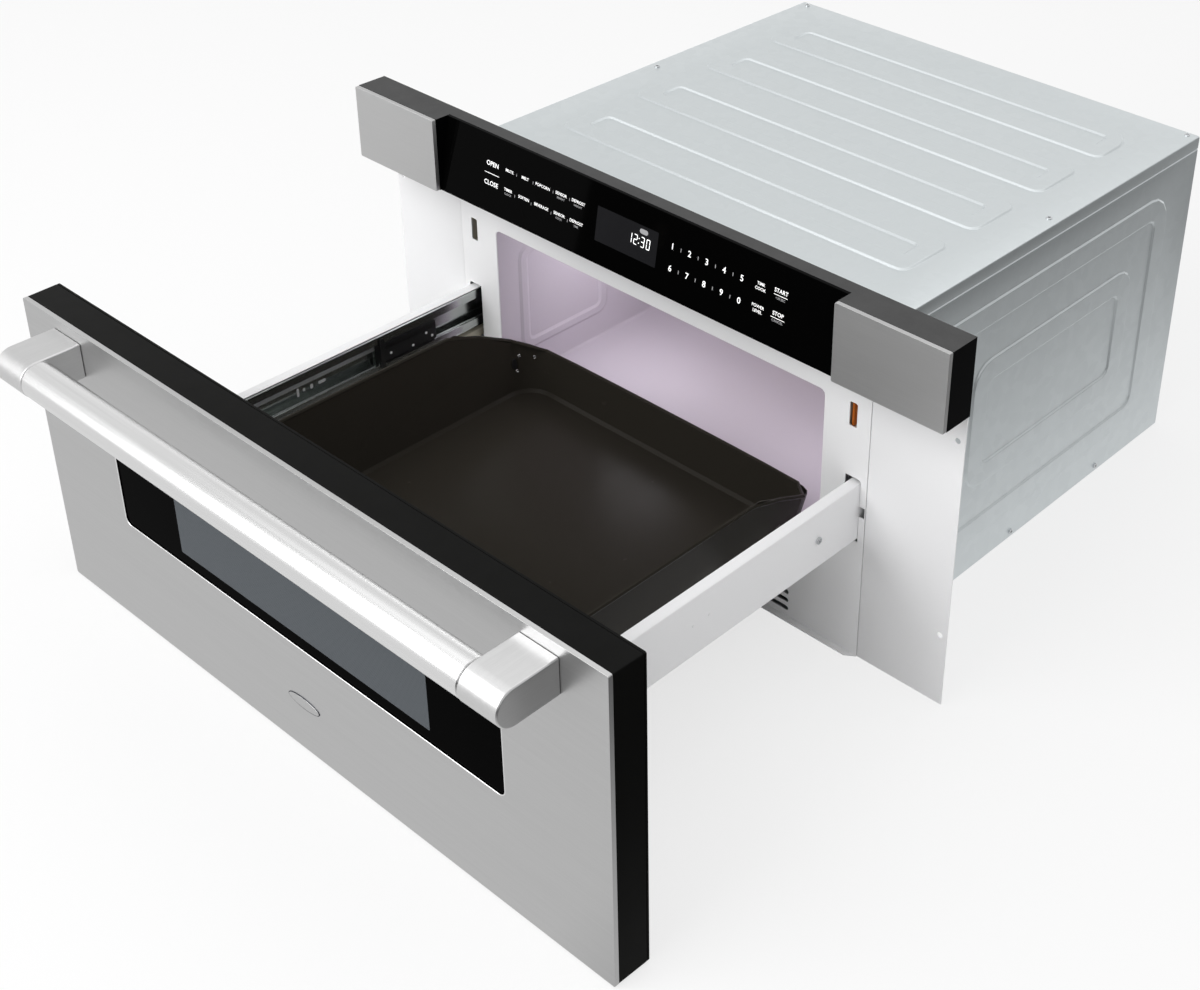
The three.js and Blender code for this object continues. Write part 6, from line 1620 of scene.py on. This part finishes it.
@dataclass
class DrawerPan:
    """The enamelled pan with the screws and the plug of its rear corners."""

    front: float
    screw: Screw = Screw(2.1 * MM, 0.9 * MM)
    stud: Stud = Stud(4.2 * MM, 0.7 * MM, sides=32, edge=0.3 * MM, stretch=(0.75, 1.5, 1))
    screws: tuple[tuple[Point, Point], ...] = (
        (mm(-196.4, 2.6, 137.7), (0.96, -0.19, 0.2)),
        (mm(-194.3, -3.0, 122.4), (0.96, -0.19, 0.2)),
        (mm(-185.4, 14.7, 135.7), (0.54, -0.81, 0.23)))
    plug: tuple[Point, Point] = (mm(-196.0, -4.6, 131.0), (0.96, -0.19, 0.2))

    def spots(self, places: Iterable[tuple[Point, Point]]) -> list[Spot]:
        """Places on the pan's wall in the left-hand corner, then mirrored in the right.

        Args:
            places: Place and outward direction of each, in the left-hand corner.

        Returns:
            The places and directions in the frame.
        """
        return [(Vector((hand * x, self.front + y, z)), Vector((hand * along, across, up)))
                for hand in (1, -1) for (x, y, z), (along, across, up) in places]

    def build(self, shop: Shop) -> None:
        """Dresses the pan and adds screws and plugs.

        Args:
            shop: Where nodes are dressed.
        """
        shop.refine(ENAMEL, 0.35 * MM, "drawer_pan", angle=30)
        screws = self.screw.row("pan_screws", self.spots(self.screws))
        shop.fit(screws, BRIGHT_EDGE, "drawer")
        plugs = self.stud.row("pan_plugs", self.spots((self.plug,)))
        shop.fit(plugs, BUFFER_BLACK, "drawer")


@dataclass
class Runners:
    """White rails, the telescopic runners and the rack drive.

    An area is front, rear, foot and top, and a slot is its middle, width and height.
    """

    front: float
    screw: Screw = Screw(3.6 * MM, 1.8 * MM)
    rail_screw: Pair = mm(-58, 168.6)
    dimple: Stud = Stud(1.5 * MM, 0.5 * MM, sides=20, edge=0.35 * MM)
    dimples: tuple[Pair, ...] = (mm(-202, 171), mm(-222, 170.5))
    rivet: Stud = Stud(1.5 * MM, 0.8 * MM)
    rivets: tuple[Pair, ...] = (
        mm(-120.6, 173.7), mm(-92, 169.9), mm(-74.1, 177), mm(-66.5, 170.8))
    rib_faces: Pair = mm(-0.9, 0.1)
    ribs: tuple[Area, ...] = (
        mm(-134, -128.5, 158, 194.4), mm(-127, -63, 184.5, 186.3),
        mm(-127, -63, 180.4, 181.6), mm(-127, -63, 163.6, 165.2))
    web: float = 263.5 * MM
    slot_faces: Pair = mm(-0.12, 0.05)
    slots: tuple[Area, ...] = (
        mm(-228.9, 170.6, 2.6, 9.6), mm(-221.6, 171, 2.8, 3.6),
        mm(-212.3, 170.9, 3.4, 5.4), mm(-199.5, 170.9, 9.0, 3.6))
    raceway_highlight_faces: Pair = mm(-0.28, 0.05)
    raceway_highlight_corner: float = 1.0 * MM
    # where the rolled raceways lie on the web, given a painted highlight
    raceway_highlights: tuple[Area, ...] = (mm(-391, 86, 176.8, 190.0), mm(-391, 86, 155.6, 158.6))

    def plates(self, name: str, hand: int, faces: Sequence[float], areas: Iterable[Area],
               share: float = 0.4, most: float = math.inf) -> Piece:
        """Thin plates on an upright face, with rounded corners, as one piece.

        Args:
            name: The piece's name.
            hand: 1 on the right, -1 on the left.
            faces: Where they start and end from side to side, on the right.
            areas: The area of each.
            share: Radius of its corners as a share of its smaller side.
            most: The largest radius.

        Returns:
            The piece.
        """
        first, last = sorted(hand * face for face in faces)
        pieces = []
        for front, rear, foot, top in areas:
            piece = Bench.block(name, (first, self.front + front, foot),
                                (last, self.front + rear, top))
            corner = min(min(rear - front, top - foot) * share, most)
            Bench.round_corners(piece, Axis.X, corner, segments=4)
            Bench.smooth(piece, angle=30)
            pieces.append(piece)
        return Bench.join(name, pieces)

    def buffer_details(self, shop: Shop, side: str, hand: int) -> None:
        """Ribs and rivets on a runner's buffer.

        Args:
            shop: Where nodes are dressed.
            side: The side's name.
            hand: 1 on the right, -1 on the left.
        """
        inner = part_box("runner_buffer_right")[0].x
        body = shop.body[f"runner_buffer_{side}"]
        ribs = self.plates(f"buffer_ribs_{side}", hand, [inner + x for x in self.rib_faces],
                           self.ribs)
        shop.fit(ribs, BUFFER_BLACK, body)
        spots = [(Vector((hand * inner, self.front + y, z)), Vector((-hand, 0, 0)))
                 for y, z in self.rivets]
        rivets = self.rivet.row(f"buffer_rivets_{side}", spots)
        shop.fit(rivets, WHITE_PAINT, body)

    def member_details(self, shop: Shop, side: str, hand: int) -> None:
        """Slots of a runner's drawer member, and bands on its web with a painted highlight of its
        rolled raceways.

        Args:
            shop: Where nodes are dressed.
            side: The side's name.
            hand: 1 on the right, -1 on the left.
        """
        body = shop.body[f"runner_drawer_{side}"]
        areas = [(y - wide / 2, y + wide / 2, z - high / 2, z + high / 2)
                 for y, z, wide, high in self.slots]
        slots = self.plates(f"member_slots_{side}", hand, [self.web + x for x in self.slot_faces],
                            areas, share=0.45)
        shop.fit(slots, WHITE_PAINT, body)
        # lighter bands: the painted highlight of the rolled raceways
        raceway_highlights = self.plates(f"member_tracks_{side}", hand,
                             [self.web + x for x in self.raceway_highlight_faces], self.raceway_highlights,
                             most=self.raceway_highlight_corner)
        shop.fit(raceway_highlights, RACEWAY_PAINTED_HIGHLIGHT, body)

    def build(self, shop: Shop) -> None:
        """Dresses rails and runners and adds screws, dimples, ribs and rivets.

        Args:
            shop: Where nodes are dressed.
        """
        shop.refine(WHITE_PAINT, 0.35 * MM, "rail_cover_right", "rail_cover_left")
        shop.dress(RUNNER_ZINC, "runner_drawer_right", "runner_drawer_left", "runner_middle_right",
                   "runner_middle_left", "runner_fixed_right", "runner_fixed_left")
        shop.dress(ZINC_SHEET, "runner_brace_right", "runner_brace_left")
        shop.dress(BUFFER_BLACK, "runner_buffer_right", "runner_buffer_left")
        shop.dress(IVORY, "drive_rack", "drive_pinion")
        shop.refine(LAMINATION, 0.5 * MM, "drive_gearbox")
        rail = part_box("rail_cover_right")[1].x
        screws, dimples = [], []
        for side, hand in SIDES:
            for places, spots in (((self.rail_screw,), screws), (self.dimples, dimples)):
                spots += [(Vector((hand * rail, self.front + y, z)), Vector((hand, 0, 0)))
                          for y, z in places]
            self.buffer_details(shop, side, hand)
            self.member_details(shop, side, hand)
        shop.fit(self.screw.row("rail_screws", screws), PLATED, "drawer")
        shop.fit(self.dimple.row("rail_dimples", dimples), WHITE_PAINT, "drawer")


@dataclass
class Latches:
    """Hooks on the door, holders and levers behind the frame: the right lever orange, the left one
    black as painted shade.
    """

    edge: float = 0.3 * MM

    def build(self, shop: Shop) -> None:
        """Dresses the latches.

        Args:
            shop: Where nodes are dressed.
        """
        shop.refine(IVORY, self.edge, "latch_hook_right", "latch_hook_left")
        shop.dress(IVORY, "latch_holder_right", "latch_holder_left")
        shop.dress(ORANGE, "latch_lever_right")
        # the left lever is dressed black: painted shade, where it lies in the shadow behind the
        # frame
        shop.dress(BUFFER_BLACK, "latch_lever_left")


def main() -> None:
    """Loads the frame and builds the sub-assemblies in order."""
    logging.basicConfig(level=logging.INFO, format="%(name)s %(message)s")
    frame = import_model()
    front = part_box("flap_right")[0].y
    shop = Shop(frame)
    Studio().build()
    for part in (Cabinet(front), FrontFrame(), Oven(), MachineBay(), ControlPanel(), Door(),
                 DrawerPan(front), Runners(front), Latches()):
        part.build(shop)
        LOG.info("%s is done", type(part).__name__)


if __name__ == "__main__":
    main()
